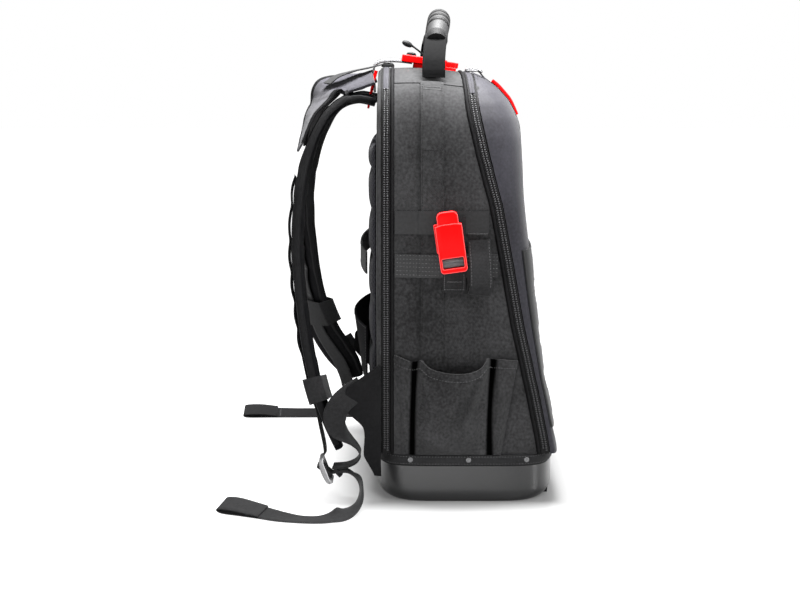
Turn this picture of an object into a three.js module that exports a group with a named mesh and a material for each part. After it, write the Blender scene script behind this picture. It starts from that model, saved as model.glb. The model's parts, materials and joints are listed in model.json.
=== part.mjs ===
// A tool backpack with a moulded base, in millimetres.
// The pack stands on its base, +Z is up, -Y is its front and +Y its wearer's side.
import * as THREE from 'three';
import { mergeVertices } from 'three/addons/utils/BufferGeometryUtils.js';

// Main sizes
const bodyTop = 474;
const bodyBottom = 54.4;
const shellHalfWidth = 168.5;
const shellHalfDepth = 100;
const shellHeight = 42;
const shellWall = 3;
const shellEdgeHeight = 16;
const shellEdgeDepth = 16;
const shellEdgeWidth = 7;
const shellRoundness = 6;
const clothWall = 2;
const trimWall = 1.6;
const gap = 0.4;
const webbing = 25;
const pipingRadius = 1.9;
const zipWidth = 9.2;
const zipDepth = 3.4;
const rearPipingY = 80.7;
const topSlope = 0.055;
const domeRoundness = 3.6;
const domeWall = 2.5;
const clothSwell = 2.2;
const lidRoundness = 9;
const stripRear = 50;
const stripFront = 25;
const stripHeights = [150, 210, 280, 340, 375, 400, 420, 436, 449, 458.5];
const buckleWidth = 29;
const buckleLength = 66;
const buckleDepth = 8.4;
const ribNotches = [72, 123, 172, 221, 270, 319, 366, 392];
const padHalf = 142;
const padRoot = 99.2;
const padValley = 3.4;
const padHeight = 8.4;
const slotRows = 4;
const slotLow = 84;
const slotPitch = 49;
const slitHeight = 25;
const slitWidth = 4;
const slitPlaces = [-133, -95, -57, -19, 19, 57, 95, 133];

// Colours
const blackCloth = { color: 0x34343a, roughness: 0.9, metalness: 0 };
const blueCloth = { color: 0x3c3d48, roughness: 0.85, metalness: 0 };
const tapeCloth = { color: 0x2b2b30, roughness: 0.8, metalness: 0 };
const mouldedGrey = { color: 0x4a4a4c, roughness: 0.45, metalness: 0 };
const darkRubber = { color: 0x1b1b1d, roughness: 0.7, metalness: 0 };
const greyRubber = { color: 0x7d7d80, roughness: 0.6, metalness: 0 };
const redPlastic = { color: 0xe01a1c, roughness: 0.35, metalness: 0 };
const darkPlastic = { color: 0x1f1f22, roughness: 0.4, metalness: 0 };
const paleMetal = { color: 0xa8a8ac, roughness: 0.35, metalness: 1 };

// A table's rows as objects, with its columns named once.
function table(names, rows) {
  return rows.map((row) => Object.fromEntries(row.map((value, i) => [names[i], value])));
}

// The front view's outline of the left half, from the base up to the middle of the top.
const outline = table(['x', 'z'], [
  [-164, 54.4],
  [-167, 95],
  [-168, 150],
  [-168, 210],
  [-166, 280],
  [-161.5, 340],
  [-154, 395],
  [-141, 434],
  [-120, 459],
  [-88, 469.5],
  [-45, 473],
  [0, bodyTop],
]);

// How far forward the front piping runs at each height.
const frontSeam = table(['z', 'y'], [
  [54, -81],
  [97, -73],
  [140, -63.5],
  [197, -50.5],
  [266, -38],
  [327, -26.5],
  [372, -15],
  [399, -8.5],
  [430, -2],
  [457, 1],
  [480, 2.5],
]);

// The front's rows: height at the sides, rise to the middle, half width and where the middle's face is.
const domeRows = table(['z', 'crown', 'half', 'face'], [
  [54.6, 0, 163.4, -105.6],
  [75, 0, 165.3, -100.8],
  [100, 0, 166.8, -95.6],
  [140, 0, 167.6, -87],
  [190, 0, 167.8, -81.4],
  [240, 0, 167, -76.2],
  [280, 0, 165.6, -73],
  [330, 0, 162, -67.8],
  [370, 0, 157.3, -66.2],
  [400, 0, 152, -64.4],
  [420, 0, 145, -60],
  [437, 2, 134.5, -53],
  [449, 5, 121, -43],
  [457, 7, 105, -32],
  [463.5, 6, 84, -12.3],
]);

// The back lid's rows, in the same columns.
const lidRows = table(['z', 'crown', 'half', 'face'], [
  [54.6, 0, 163.4, 97.5],
  [100, 0, 166.8, 98.2],
  [210, 0, 167.8, 98.5],
  [280, 0, 165.6, 98.5],
  [340, 0, 161, 98.5],
  [395, 0, 153.5, 98.2],
  [432, 0, 141, 97.8],
  [452, 4, 125, 97.2],
  [462, 8, 106, 96],
  [467.5, 6.5, 88, 93.8],
]);

// The yoke's upper flap on the left, which joins the pad over the shoulder.
const yokeRows = table(['x', 'y', 'z', 'wx', 'wy', 'wz', 'half', 'thick'], [
  [-61, 102.2, 464.1, 0.98, 0.05, 0.21, 30.5, 7],
  [-61, 118.8, 458.9, 0.97, -0.01, 0.24, 31, 8.0],
  [-61, 135.6, 455.9, 0.96, 0.1, 0.27, 34, 5.0],
  [-66, 151.7, 450.7, 0.94, 0.18, 0.30, 37.4, 4.5],
  [-73, 161.3, 436.6, 0.98, 0.15, 0.16, 35.9, 4],
  [-80, 171.7, 420.9, 0.99, 0.14, 0.04, 35.4, 3.5],
  [-86, 178.8, 402.4, 0.99, 0.12, -0.02, 35.2, 3],
  [-90, 183.7, 386.8, 0.99, 0.10, -0.05, 35.2, 2.4],
]);

// The free edge of the left wing: height, distance back and distance out.
const wingRows = table(['z', 'y', 'x'], [
  [31, 100.5, -169.5],
  [42, 106, -170],
  [54, 112, -171],
  [85.6, 112.5, -173],
  [106, 131, -175.4],
  [120, 131.6, -176],
  [131, 130.5, -175.6],
  [137, 121, -174.4],
  [146, 108.5, -172.8],
  [154, 97.5, -171.8],
]);

// The tool loop beside the buckle: down, round under its own end and back up behind.
const toolLoop = table(['x', 'y', 'z', 'wx', 'wy', 'wz'], [
  [-174.4, -12.5, 292.5, 0, 1, 0],
  [-176.4, -13.2, 281, 0, 1, 0],
  [-180.4, -14.2, 266, 0, 1, 0],
  [-184, -14.6, 251, 0, 1, 0],
  [-185.4, -14, 241, 0, 1, 0.05],
  [-183.2, -12.8, 235.2, 0, 1, 0.1],
  [-178.8, -12.2, 235.6, 0, 1, 0.1],
  [-175.6, -12, 243, 0, 1, 0],
  [-174.6, -12, 256, 0, 1, 0],
  [-174.6, -12, 266, 0, 1, 0],
]);

// The left leg of the carrying handle, from the top seam to the grip.
const handleWebbing = table(['x', 'y', 'z', 'wx', 'wy', 'wz'], [
  [-117.5, 35.5, 464.4, 0, 1, 0],
  [-114.5, 35.5, 474, 0, 1, 0],
  [-106, 35, 487, 0, 1, 0],
  [-90, 33.5, 500, 0, 1, 0],
  [-64.5, 31, 511, 0, 1, 0],
]);

// The ribbed rubber grip.
const gripRows = table(['x', 'y', 'z', 'wx', 'wy', 'wz', 'half', 'thick'], [
  [-63.5, 30.8, 511.6, 0, 1, 0, 12, 24],
  [-45, 29, 519, 0, 1, 0, 12.6, 25.2],
  [-22, 27.6, 526.4, 0, 1, 0, 13, 26],
  [0, 27.2, 528.6, 0, 1, 0, 13, 26],
  [22, 27.6, 526.4, 0, 1, 0, 13, 26],
  [45, 29, 519, 0, 1, 0, 12.6, 25.2],
  [63.5, 30.8, 511.6, 0, 1, 0, 12, 24],
]);

// The short strap that ties the yoke to the buckle on top.
const topStrap = table(['x', 'y', 'z', 'wx', 'wy', 'wz'], [
  [0, 73.2, 482.6, 1, 0, 0],
  [0, 84, 483.2, 1, 0, 0],
  [0, 95, 481.6, 1, 0, 0],
  [0, 101.5, 477, 1, 0, 0],
  [0, 103, 469, 1, 0, 0],
  [0, 102.2, 456, 1, 0, 0],
  [0, 101.6, 446, 1, 0, 0],
]);

// The red pull of the rear zip.
const rearPull = table(['x', 'y', 'z', 'wx', 'wy', 'wz'], [
  [-24, 99.5, 471, 1, 0, 0],
  [-24, 102, 462, 1, 0, 0],
  [-24, 104.6, 450, 1, 0, 0],
  [-24, 107.4, 436, 1, 0, 0],
  [-24, 109, 428, 1, 0, 0],
]);

// The left shoulder pad's middle line, from the back panel over the shoulder down to its tip.
const padRowsLeft = table(['x', 'y', 'z', 'wx', 'wy', 'wz', 'half', 'thick'], [
  [-64, 100.8, 437.5, 1, 0, 0, 30, 12],
  [-65, 118, 440.5, 1, 0, 0, 31, 11],
  [-69, 135, 436.5, 1, 0, 0, 32, 11.5],
  [-75, 146.5, 429, 1, 0, 0, 34, 12],
  [-82, 158.2, 415, 1, 0, 0, 36, 12],
  [-90, 169.4, 392, 1, 0, 0, 36, 12],
  [-98, 178.4, 362, 1, 0, 0, 35, 14],
  [-105, 183.2, 330, 1, 0, 0, 35, 14],
  [-112, 186, 288, 1, 0, 0, 34, 13],
  [-118, 184.8, 250, 1, 0, 0, 33, 12],
  [-124, 181.2, 215, 1, 0, 0, 32, 11],
  [-130, 176.8, 183, 1, 0, 0, 31, 12],
  [-136, 171, 152, 1, 0, 0, 29, 12],
  [-142, 163.3, 121, 1, 0, 0, 26, 12],
  [-147, 153, 91, 1, 0, 0, 22, 11],
  [-151, 139.5, 58, 1, 0, 0, 15, 8],
]);

// The right shoulder pad hangs twisted, its lower end nearer to the back panel.
const padRowsRight = table(['x', 'y', 'z', 'wx', 'wy', 'wz', 'half', 'thick'], [
  [64, 100.8, 437.5, 1, 0, 0, 30, 12],
  [65, 118, 440.5, 1, 0, 0, 31, 11],
  [69, 135, 436.5, 1, 0, 0, 32, 11.5],
  [75, 146.5, 429, 1, 0, 0, 34, 12],
  [82, 158.2, 415, 1, 0, 0, 36, 12],
  [88, 169.4, 392, 1, 0, 0, 36, 12],
  [94, 180, 362, 1, 0.1, 0, 35, 14],
  [99, 186.5, 330, 1, 0.16, -0.05, 35, 14],
  [105, 189.5, 288, 1, 0.24, -0.12, 35, 14],
  [110, 188, 253, 1, 0.28, -0.16, 35, 13],
  [114, 185.5, 223, 1, 0.33, -0.2, 34, 12],
  [118, 181, 183, 1, 0.5, -0.2, 33, 12],
  [122, 169.5, 146, 1, 0.66, -0.26, 31, 12],
  [126, 156, 121, 1, 0.74, -0.46, 28, 12],
  [130, 142, 99, 1, 0.62, -0.68, 24, 11],
  [133, 130, 80, 1, 0.5, -0.75, 16, 8],
]);

// The left lower webbing leaves the wing face on, turns edge on and runs back to its buckle.
const lowerWebLeft = table(['x', 'y', 'z', 'wx', 'wy', 'wz'], [
  [-178, 130.8, 120, 0, 0.62, 0.78],
  [-178.4, 138, 112.5, 0, 0.74, 0.67],
  [-178, 142.5, 104, -0.06, 0.86, 0.5],
  [-176.4, 143, 95, -0.25, 0.93, 0.25],
  [-173, 139.5, 86, -0.6, 0.78, 0.1],
  [-168.6, 132.5, 77.5, -0.88, 0.45, 0.05],
  [-164.6, 124.6, 69, -0.99, 0.12, 0],
  [-162, 118.5, 61, -1, 0, 0],
  [-160, 116.4, 53, -1, 0, 0],
  [-159, 120.5, 45.5, -1, 0, 0],
  [-158, 131, 40.4, -1, 0, 0],
  [-157, 146.4, 38.8, -1, 0, 0],
]);

// The right lower webbing is short and hangs behind the pack.
const lowerWebRight = table(['x', 'y', 'z', 'wx', 'wy', 'wz'], [
  [178.2, 130.5, 118, 0, 0, 1],
  [178.5, 140, 112, 0, 0.3, 0.9],
  [176, 147, 102, 0.4, 0.7, 0.5],
  [170, 149.5, 90, 0.8, 0.5, 0.2],
  [162, 148.5, 76, 0.98, 0.2, 0],
  [156, 146, 62, 1, 0, 0],
  [153, 142.5, 52, 1, 0, 0],
  [152, 139.4, 45.5, 1, 0, 0],
]);

// The left free tail drops from its buckle to the ground and lies there, with a sewn loop at its end.
const tailLeft = table(['x', 'y', 'z', 'wx', 'wy', 'wz'], [
  [-157, 145.8, 33.6, -1, 0, 0],
  [-159, 136, 34.4, -0.94, 0.35, 0.04],
  [-165, 125, 31, -0.72, 0.51, 0.46],
  [-180, 116, 24, -0.38, 0, 0.93],
  [-203, 117, 15.5, -0.35, -0.42, 0.84],
  [-221, 123.5, 10, -0.44, -0.83, 0.3],
  [-232, 133, 7, -0.72, -0.62, -0.25],
  [-236.5, 147, 3.4, -0.98, -0.18, -0.1],
  [-237, 162, 1.5, -1, 0.04, 0],
  [-235, 181, 1.6, -0.98, 0.18, 0],
  [-230, 201, 3, -0.94, 0.32, -0.11],
  [-222, 220, 4.6, -0.89, 0.4, -0.21],
  [-213, 240, 5.6, -0.87, 0.39, -0.3],
  [-205, 259, 5.8, -0.88, 0.38, -0.3],
  [-203, 265, 8.3, -0.88, 0.38, -0.29],
  [-205.5, 261, 10.5, -0.88, 0.38, -0.29],
  [-211, 248, 10.6, -0.87, 0.39, -0.3],
  [-219.4, 228.3, 8.1, -0.88, 0.41, -0.24],
  [-223.2, 218.7, 6.7, -0.9, 0.4, -0.2],
]);

// The right free tail lies on the ground on the far side.
const tailRight = table(['x', 'y', 'z', 'wx', 'wy', 'wz'], [
  [152, 129.6, 41, 1, 0, 0],
  [153, 122, 37, 1, 0, 0],
  [158, 115, 30, 0.85, 0.3, 0.4],
  [169, 108, 21.5, 0.5, 0.3, 0.8],
  [184, 100, 15, 0.15, 0.1, 1],
  [204, 93, 13.4, 0, 0, 1],
  [224, 89, 13.2, 0, 0, 1],
  [239, 95, 12.6, 0.3, -0.2, 0.93],
  [245.5, 109, 10.2, 0.66, -0.1, 0.74],
  [247, 128, 7.4, 0.86, 0, 0.5],
  [247.5, 150, 5.4, 0.95, 0, 0.32],
  [247.5, 180, 4.6, 0.96, 0, 0.28],
  [247, 215, 4.6, 0.96, 0, 0.28],
  [246, 250, 5.2, 0.95, 0, 0.32],
  [245, 279, 5.6, 0.94, 0, 0.34],
  [244.2, 285.3, 7.9, 0.94, 0, 0.34],
  [243.4, 280, 10.1, 0.94, 0, 0.34],
  [243.8, 262, 10.2, 0.94, 0, 0.34],
  [245.5, 240, 7.4, 0.95, 0, 0.32],
]);

// The side pocket's folds from its rear edge to its front edge: rim height and how far it stands out.
const pocketFolds = table(['y', 'foot', 'rim', 'out', 'footOut'], [
  [79, 79, 167, 0, 0],
  [70, 72, 164, 6, 1.5],
  [61.5, 64, 161.5, 9, 3],
  [55.5, 59, 160.5, 4.5, 1.5],
  [50.5, 55, 164, 15, 5],
  [40, 46, 155.5, 20, 7],
  [24, 31, 151, 22, 8],
  [10, 18, 150, 22.5, 8],
  [-3, 5, 151, 22, 8],
  [-14, -4, 155.5, 20, 7],
  [-23, -12, 166, 16, 5],
  [-28.5, -17, 163, 3.5, 1],
  [-35, -22, 164, 10, 3.5],
  [-46, -30, 162.5, 7, 2.5],
  [-56, -38, 160.5, 0, 0],
]);

// A value between neighbouring rows of a table, on a smooth curve through them; t runs from 0 to 1.
function sample(rows, t) {
  const place = THREE.MathUtils.clamp(t, 0, 1) * (rows.length - 1);
  const i = Math.min(Math.floor(place), rows.length - 2);
  const f = place - i;
  const row = (k) => rows[THREE.MathUtils.clamp(k, 0, rows.length - 1)];
  const result = {};
  for (const key of Object.keys(rows[0])) {
    const [a, b, c, d] = [row(i - 1), row(i), row(i + 1), row(i + 2)].map((r) => r[key]);
    result[key] = b + 0.5 * f * (c - a + f * (2 * a - 5 * b + 4 * c - d + f * (3 * (b - c) + d - a)));
  }
  return result;
}

// The same curve, found by the value of one rising column.
function lookup(rows, key, value) {
  let i = 0;
  while (i < rows.length - 2 && value > rows[i + 1][key]) {
    i += 1;
  }
  const f = THREE.MathUtils.clamp((value - rows[i][key]) / (rows[i + 1][key] - rows[i][key]), 0, 1);
  return sample(rows, (i + f) / (rows.length - 1));
}

// Even steps from one value to another, ends included.
function steps(from, to, count) {
  return Array.from({ length: count + 1 }, (_, i) => from + ((to - from) * i) / count);
}

// A closed mesh from triangles of points, turned so that its faces point outwards.
function solid(triangles) {
  let volume = 0;
  for (const [a, b, c] of triangles) {
    volume += a.dot(new THREE.Vector3().crossVectors(b, c));
  }
  const flat = [];
  for (const [a, b, c] of triangles) {
    const corners = volume < 0 ? [a, c, b] : [a, b, c];
    corners.forEach((p) => flat.push(p.x, p.y, p.z));
  }
  const geometry = new THREE.BufferGeometry();
  geometry.setAttribute('position', new THREE.Float32BufferAttribute(flat, 3));
  const merged = mergeVertices(geometry, 1e-3);
  merged.computeVertexNormals();
  return merged;
}

// The two triangles of a four-cornered face.
function quad(triangles, a, b, c, d) {
  triangles.push([a, b, c], [a, c, d]);
}

// A body lofted through rings with the same number of points; a looped one joins its last ring to its first.
// Where turned is true, a cell is split along its other diagonal, so that thin twisted walls stay apart.
function loft(rings, looped = false, turned = () => false) {
  const triangles = [];
  const count = rings[0].length;
  const last = looped ? rings.length : rings.length - 1;
  for (let i = 0; i < last; i += 1) {
    const low = rings[i];
    const high = rings[(i + 1) % rings.length];
    for (let j = 0; j < count; j += 1) {
      const k = (j + 1) % count;
      if (turned(i, j)) {
        quad(triangles, low[k], high[k], high[j], low[j]);
      } else {
        quad(triangles, low[j], low[k], high[k], high[j]);
      }
    }
  }
  if (!looped) {
    const middle = (ring) => ring.reduce((sum, p) => sum.add(p), new THREE.Vector3()).divideScalar(count);
    const [start, end] = [rings[0], rings[rings.length - 1]];
    const [startMiddle, endMiddle] = [middle(start), middle(end)];
    for (let j = 0; j < count; j += 1) {
      const k = (j + 1) % count;
      triangles.push([startMiddle, start[k], start[j]]);
      triangles.push([endMiddle, end[j], end[k]]);
    }
  }
  return solid(triangles);
}

// A sheet with a real thickness over a surface; cells that skip names are holes cut through it.
function sheet(surface, us, vs, wall, skip = () => false) {
  const small = 1e-3;
  const outer = us.map((u) => vs.map((v) => surface(u, v)));
  const inner = us.map((u, i) => vs.map((v, j) => {
    const alongU = surface(u + small, v).sub(surface(u - small, v));
    const alongV = surface(u, v + small).sub(surface(u, v - small));
    const normal = alongU.cross(alongV).normalize();
    return outer[i][j].clone().addScaledVector(normal, -wall);
  }));
  const columns = us.length - 1;
  const rows = vs.length - 1;
  const filled = (i, j) => i >= 0 && j >= 0 && i < columns && j < rows && !skip(i, j);
  const triangles = [];
  for (let i = 0; i < columns; i += 1) {
    for (let j = 0; j < rows; j += 1) {
      if (!filled(i, j)) {
        continue;
      }
      const corners = [[i, j], [i + 1, j], [i + 1, j + 1], [i, j + 1]];
      const [a, b, c, d] = corners.map(([m, n]) => outer[m][n]);
      const [e, f, g, h] = corners.map(([m, n]) => inner[m][n]);
      quad(triangles, a, b, c, d);
      triangles.push([e, g, f], [e, h, g]);
      if (!filled(i, j - 1)) {
        quad(triangles, b, a, e, f);
      }
      if (!filled(i + 1, j)) {
        quad(triangles, c, b, f, g);
      }
      if (!filled(i, j + 1)) {
        quad(triangles, d, c, g, h);
      }
      if (!filled(i - 1, j)) {
        quad(triangles, a, d, h, e);
      }
    }
  }
  return solid(triangles);
}

// The place, width direction, thickness direction and travel direction at t along a table of rows.
function frameAt(rows, t) {
  const small = 0.002;
  const row = sample(rows, t);
  const ahead = sample(rows, t + small);
  const behind = sample(rows, t - small);
  const travel = new THREE.Vector3(ahead.x - behind.x, ahead.y - behind.y, ahead.z - behind.z).normalize();
  const width = new THREE.Vector3(row.wx, row.wy, row.wz);
  width.addScaledVector(travel, -width.dot(travel)).normalize();
  const thickness = new THREE.Vector3().crossVectors(width, travel);
  return { row, travel, width, thickness, place: new THREE.Vector3(row.x, row.y, row.z) };
}

// A flat strap of one width and thickness along a table of rows, lifted off its middle line by a distance.
function strap(rows, width, thick, count, { from = 0, to = 1, lift = () => 0 } = {}) {
  const rings = steps(from, to, count).map((t) => {
    const frame = frameAt(rows, t);
    const middle = frame.place.clone().addScaledVector(frame.thickness, lift(frame.row, t));
    return [[-1, -1], [1, -1], [1, 1], [-1, 1]].map(([a, b]) => middle.clone()
      .addScaledVector(frame.width, (a * width) / 2)
      .addScaledVector(frame.thickness, (b * thick) / 2));
  });
  return loft(rings, false, (i, j) => j === 2);
}

// A padded strap with rounded edges; its width and thickness are columns of the table.
function pad(rows, count, sides = 12, squareness = 2 / 3.2) {
  const round = (value) => Math.sign(value) * Math.abs(value) ** squareness;
  const rings = steps(0, 1, count).map((t) => {
    const frame = frameAt(rows, t);
    return Array.from({ length: sides }, (_, i) => {
      const angle = ((i + 0.5) / sides) * 2 * Math.PI;
      return frame.place.clone()
        .addScaledVector(frame.width, frame.row.half * round(Math.cos(angle)))
        .addScaledVector(frame.thickness, (frame.row.thick / 2) * round(Math.sin(angle)));
    });
  });
  return loft(rings);
}

// A sewn sleeve that goes round a padded strap between two places along it.
function sleeve(rows, from, to, room, wall) {
  const ring = (t, extra) => {
    const frame = frameAt(rows, t);
    const [w, h] = [frame.row.half + room.width + extra, frame.row.thick / 2 + room.thick + extra];
    const corner = 3;
    const corners = [[w, h - corner], [w - corner, h], [corner - w, h], [-w, h - corner]];
    const all = [...corners, ...corners.map(([a, b]) => [-a, -b])];
    return all.map(([a, b]) => frame.place.clone()
      .addScaledVector(frame.width, a)
      .addScaledVector(frame.thickness, b));
  };
  const middle = (from + to) / 2;
  const outer = [from, middle, to].map((t) => ring(t, wall));
  const inner = [to, middle, from].map((t) => ring(t, 0));
  return loft([...outer, ...inner], true, (i) => i > 2);
}

// The outline of both halves; s runs from 0 at the left foot over the top to 1 at the right foot.
function outlinePoint(s) {
  const point = sample(outline, 2 * Math.min(s, 1 - s));
  return { x: s > 0.5 ? -point.x : point.x, z: point.z };
}

// The outline's outward direction in the front view.
function outlineNormal(s) {
  const small = 1e-4;
  const [a, b] = [outlinePoint(Math.max(0, s - small)), outlinePoint(Math.min(1, s + small))];
  return new THREE.Vector3(a.z - b.z, 0, b.x - a.x).normalize();
}

// The body's surface around the sides and top: s along the outline, y from back to front, lift outwards.
function bodyPoint(s, y, lift = 0) {
  const { x, z } = outlinePoint(s);
  const drop = topSlope * (rearPipingY - y) * THREE.MathUtils.smoothstep(z, 330, bodyTop);
  return new THREE.Vector3(x, y, z - drop).addScaledVector(outlineNormal(s), lift);
}

// The place along the outline's left half at a height.
function sideAt(z) {
  let i = 0;
  while (i < outline.length - 2 && z > outline[i + 1].z) {
    i += 1;
  }
  const f = THREE.MathUtils.clamp((z - outline[i].z) / (outline[i + 1].z - outline[i].z), 0, 1);
  return (i + f) / (outline.length - 1) / 2;
}

// Where the front piping runs at s along the outline.
function seamY(s) {
  return lookup(frontSeam, 'z', outlinePoint(s).z).y;
}

// A point of the soft front; across runs from -1 to 1 and z is the height at the sides.
function domePoint(across, z, lift = 0) {
  return dishPoint(frontDish, across, z, lift);
}

// A point of a dish that stands out from an edge line to the middle of its face.
function dishPoint(dish, across, z, lift = 0) {
  const row = lookup(dish.rows, 'z', z);
  const edge = dish.edge(z);
  const bulge = (1 - Math.abs(across) ** dish.roundness) ** (1 / dish.roundness);
  const y = edge + (row.face - edge) * bulge;
  const point = new THREE.Vector3(row.half * across, y, z + row.crown * (1 - across * across));
  return lift === 0 ? point : point.addScaledVector(dishNormal(dish, across, z), lift);
}

// The outward direction of a dish.
function dishNormal(dish, across, z) {
  const small = 1e-3;
  const inside = THREE.MathUtils.clamp(across, -0.998, 0.998);
  const sideways = dishPoint(dish, inside + small, z).sub(dishPoint(dish, inside - small, z));
  const upwards = dishPoint(dish, inside, z + 1).sub(dishPoint(dish, inside, z - 1));
  return sideways.cross(upwards).normalize().multiplyScalar(dish.outwards);
}

// A ring of a rounded plan with straight-looking sides, shrunk sideways and lengthways, at a height.
function planRing(insetX, insetY, z, grow = 0) {
  const count = 28;
  return Array.from({ length: count }, (_, i) => {
    const angle = (i / count) * 2 * Math.PI;
    const round = (value) => Math.sign(value) * Math.abs(value) ** (2 / shellRoundness);
    const x = (shellHalfWidth + grow - insetX) * round(Math.cos(angle));
    return new THREE.Vector3(x, (shellHalfDepth + grow - insetY) * round(Math.sin(angle)), z);
  });
}

// The rings of the tray's round lower edge, which is steeper at the sides than at the front and back.
function edgeRings(ts, wall) {
  return ts.map((t) => {
    const [out, up] = [1 - Math.sin((t * Math.PI) / 2), 1 - Math.cos((t * Math.PI) / 2)];
    const [wide, deep, high] = [shellEdgeWidth, shellEdgeDepth, shellEdgeHeight].map((size) => size - wall);
    return planRing(wall + wide * out, wall + deep * out, wall + high * up);
  });
}

// The moulded tray: a flat bottom, a round lower edge and an open top.
function baseShell() {
  const rim = [0, shellWall].map((inset) => planRing(inset, inset, shellHeight));
  return loft([...edgeRings([0, 0.33, 0.66, 1], 0), ...rim, ...edgeRings([1, 0.5, 0], shellWall)]);
}

// A low dark strip that fills the hollow under the tray's front edge.
function frontFoot() {
  const section = [[12.5, 0], [3, 0], [2.4, 6.8], [5, 4], [8.8, 1.5]];
  const rings = steps(-0.84, 0.84, 16).map((share) => {
    const x = share * (shellHalfWidth - 20);
    return section.map(([inset, z]) => {
      const curve = (1 - Math.abs(x / shellHalfWidth) ** shellRoundness) ** (1 / shellRoundness);
      return new THREE.Vector3(x, -(shellHalfDepth - inset) * curve, z);
    });
  });
  return loft(rings);
}

// The folded cloth edge between the tray and the bag.
function baseBinding() {
  const [low, high] = [shellHeight + gap, bodyBottom - gap];
  const ring = (inset, z) => planRing(inset, inset, z, 1.5);
  const outside = [ring(0.3, low), ring(0, (low + high) / 2), ring(0.3, high)];
  return loft([...outside, ring(4, high), ring(4, low)], true);
}

// How far the gusset's cloth swells out between its two pipings.
function swellAt(s, y) {
  const rear = rearPipingY - pipingRadius - gap;
  const front = seamY(s) + pipingRadius + gap;
  return clothSwell * Math.sin(Math.PI * THREE.MathUtils.clamp((rear - y) / (rear - front), 0, 1));
}

// A point of the left side's cloth, lifted off it by a distance.
function sidePoint(y, z, lift = 0) {
  const s = sideAt(z);
  return bodyPoint(s, y, swellAt(s, y) + lift);
}

// A stretch of the side and top cloth between two places along the outline.
function gusset(from, to, count) {
  const rear = rearPipingY - pipingRadius - gap;
  const surface = (v, s) => {
    const front = seamY(s) + pipingRadius + 2 * gap;
    const y = rear + (front - rear) * v;
    return bodyPoint(s, y, swellAt(s, y));
  };
  return sheet(surface, steps(0, 1, 4), steps(from, to, count), clothWall);
}

// A cord or tape that runs up one side, over the top and down the other.
function bodyTrim(yAt, section, count = 27) {
  const ring = (s) => section.map(([y, lift]) => bodyPoint(s, yAt(s) + y, lift));
  return loft(steps(0.0005, 0.9995, count).map(ring));
}

// The round section of a piping.
function pipingSection() {
  return Array.from({ length: 5 }, (_, i) => {
    const angle = (i / 5) * 2 * Math.PI;
    return [pipingRadius * Math.cos(angle), pipingRadius * Math.sin(angle)];
  });
}

// The section of a closed zip: a tape with a raised chain of teeth in the middle.
function zipSection() {
  const half = zipWidth / 2;
  const chain = 2.6;
  const low = 0.4 - zipDepth;
  return [[-half, low], [half, low], [half, 0], [chain, 1.4], [-chain, 1.4], [-half, 0]];
}

// A hollow dish that is open towards the inside of the pack.
function dishShell(dish, wall, columns) {
  const across = steps(0, 1, columns).map((t) => {
    const c = Math.cos(Math.PI * t);
    return -Math.sign(c) * Math.abs(c) ** (2 / dish.roundness);
  });
  const heights = dish.rows.map((row) => row.z);
  const outer = across.map((a) => heights.map((z) => dishPoint(dish, a, z)));
  const inner = across.map((a) => heights.map((z) => {
    const point = dishPoint(dish, a, z, -wall);
    const limit = dish.outwards > 0 ? Math.min : Math.max;
    point.y = limit(point.y, dish.edge(z));
    return point;
  }));
  return shell(outer, inner);
}

// A closed wall between two grids of points with the same rows and columns.
function shell(outer, inner) {
  const columns = outer.length - 1;
  const rows = outer[0].length - 1;
  const triangles = [];
  for (let i = 0; i < columns; i += 1) {
    for (let j = 0; j < rows; j += 1) {
      quad(triangles, outer[i][j], outer[i + 1][j], outer[i + 1][j + 1], outer[i][j + 1]);
      quad(triangles, inner[i][j], inner[i][j + 1], inner[i + 1][j + 1], inner[i + 1][j]);
    }
  }
  for (let i = 0; i < columns; i += 1) {
    quad(triangles, inner[i][0], inner[i + 1][0], outer[i + 1][0], outer[i][0]);
    quad(triangles, outer[i][rows], outer[i + 1][rows], inner[i + 1][rows], inner[i][rows]);
  }
  for (let j = 0; j < rows; j += 1) {
    quad(triangles, outer[0][j], outer[0][j + 1], inner[0][j + 1], inner[0][j]);
    quad(triangles, inner[columns][j], inner[columns][j + 1], outer[columns][j + 1], outer[columns][j]);
  }
  return solid(triangles);
}

// A cloth strip or band on the left side, between two heights and two distances from the back.
function sidePatch(ys, zs, lift, wall = trimWall) {
  return sheet((y, z) => sidePoint(-y, z, lift(-y, z) + wall), ys.map((y) => -y), zs, wall);
}

// How far a band has to lift to pass over the long webbing.
function overStrip(y) {
  const [front, rear] = [stripFront - 1, stripRear + 1];
  const rise = THREE.MathUtils.smoothstep(y, front - 4, front);
  const fall = THREE.MathUtils.smoothstep(y, rear, rear + 4);
  const near = Math.min(rise, 1 - fall);
  return gap + near * (trimWall + 0.5);
}

// The long webbing that runs down the side from the handle to behind the pocket.
function sideStrip() {
  const lift = (_, z) => gap + 0.8 * THREE.MathUtils.smoothstep(z, 350, 400);
  return sidePatch([stripRear, 37.5, stripFront], stripHeights, lift);
}

// A band across the side, from the rear piping to a front edge.
function sideBand(front, low, high) {
  const ys = [78, 66, 56, 51.5, 37, 24, 19.5, 8, front];
  return sidePatch(ys, [low, high], overStrip);
}

// The pleated pocket, open at its top; its cloth leaves the side only between its sewn edges.
function sidePocket() {
  const foot = bodyBottom + 1.2;
  const surface = (t, v) => {
    const fold = sample(pocketFolds, t);
    const belly = fold.footOut * Math.min(1, 5 * v) + (fold.out - fold.footOut) * v;
    const y = THREE.MathUtils.lerp(fold.foot, fold.y, v);
    return sidePoint(y, THREE.MathUtils.lerp(foot, fold.rim, v), gap + clothWall + trimWall + belly);
  };
  return sheet(surface, steps(0, 1, 18), [0, 0.2, 0.5, 0.8, 1], clothWall);
}

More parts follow.
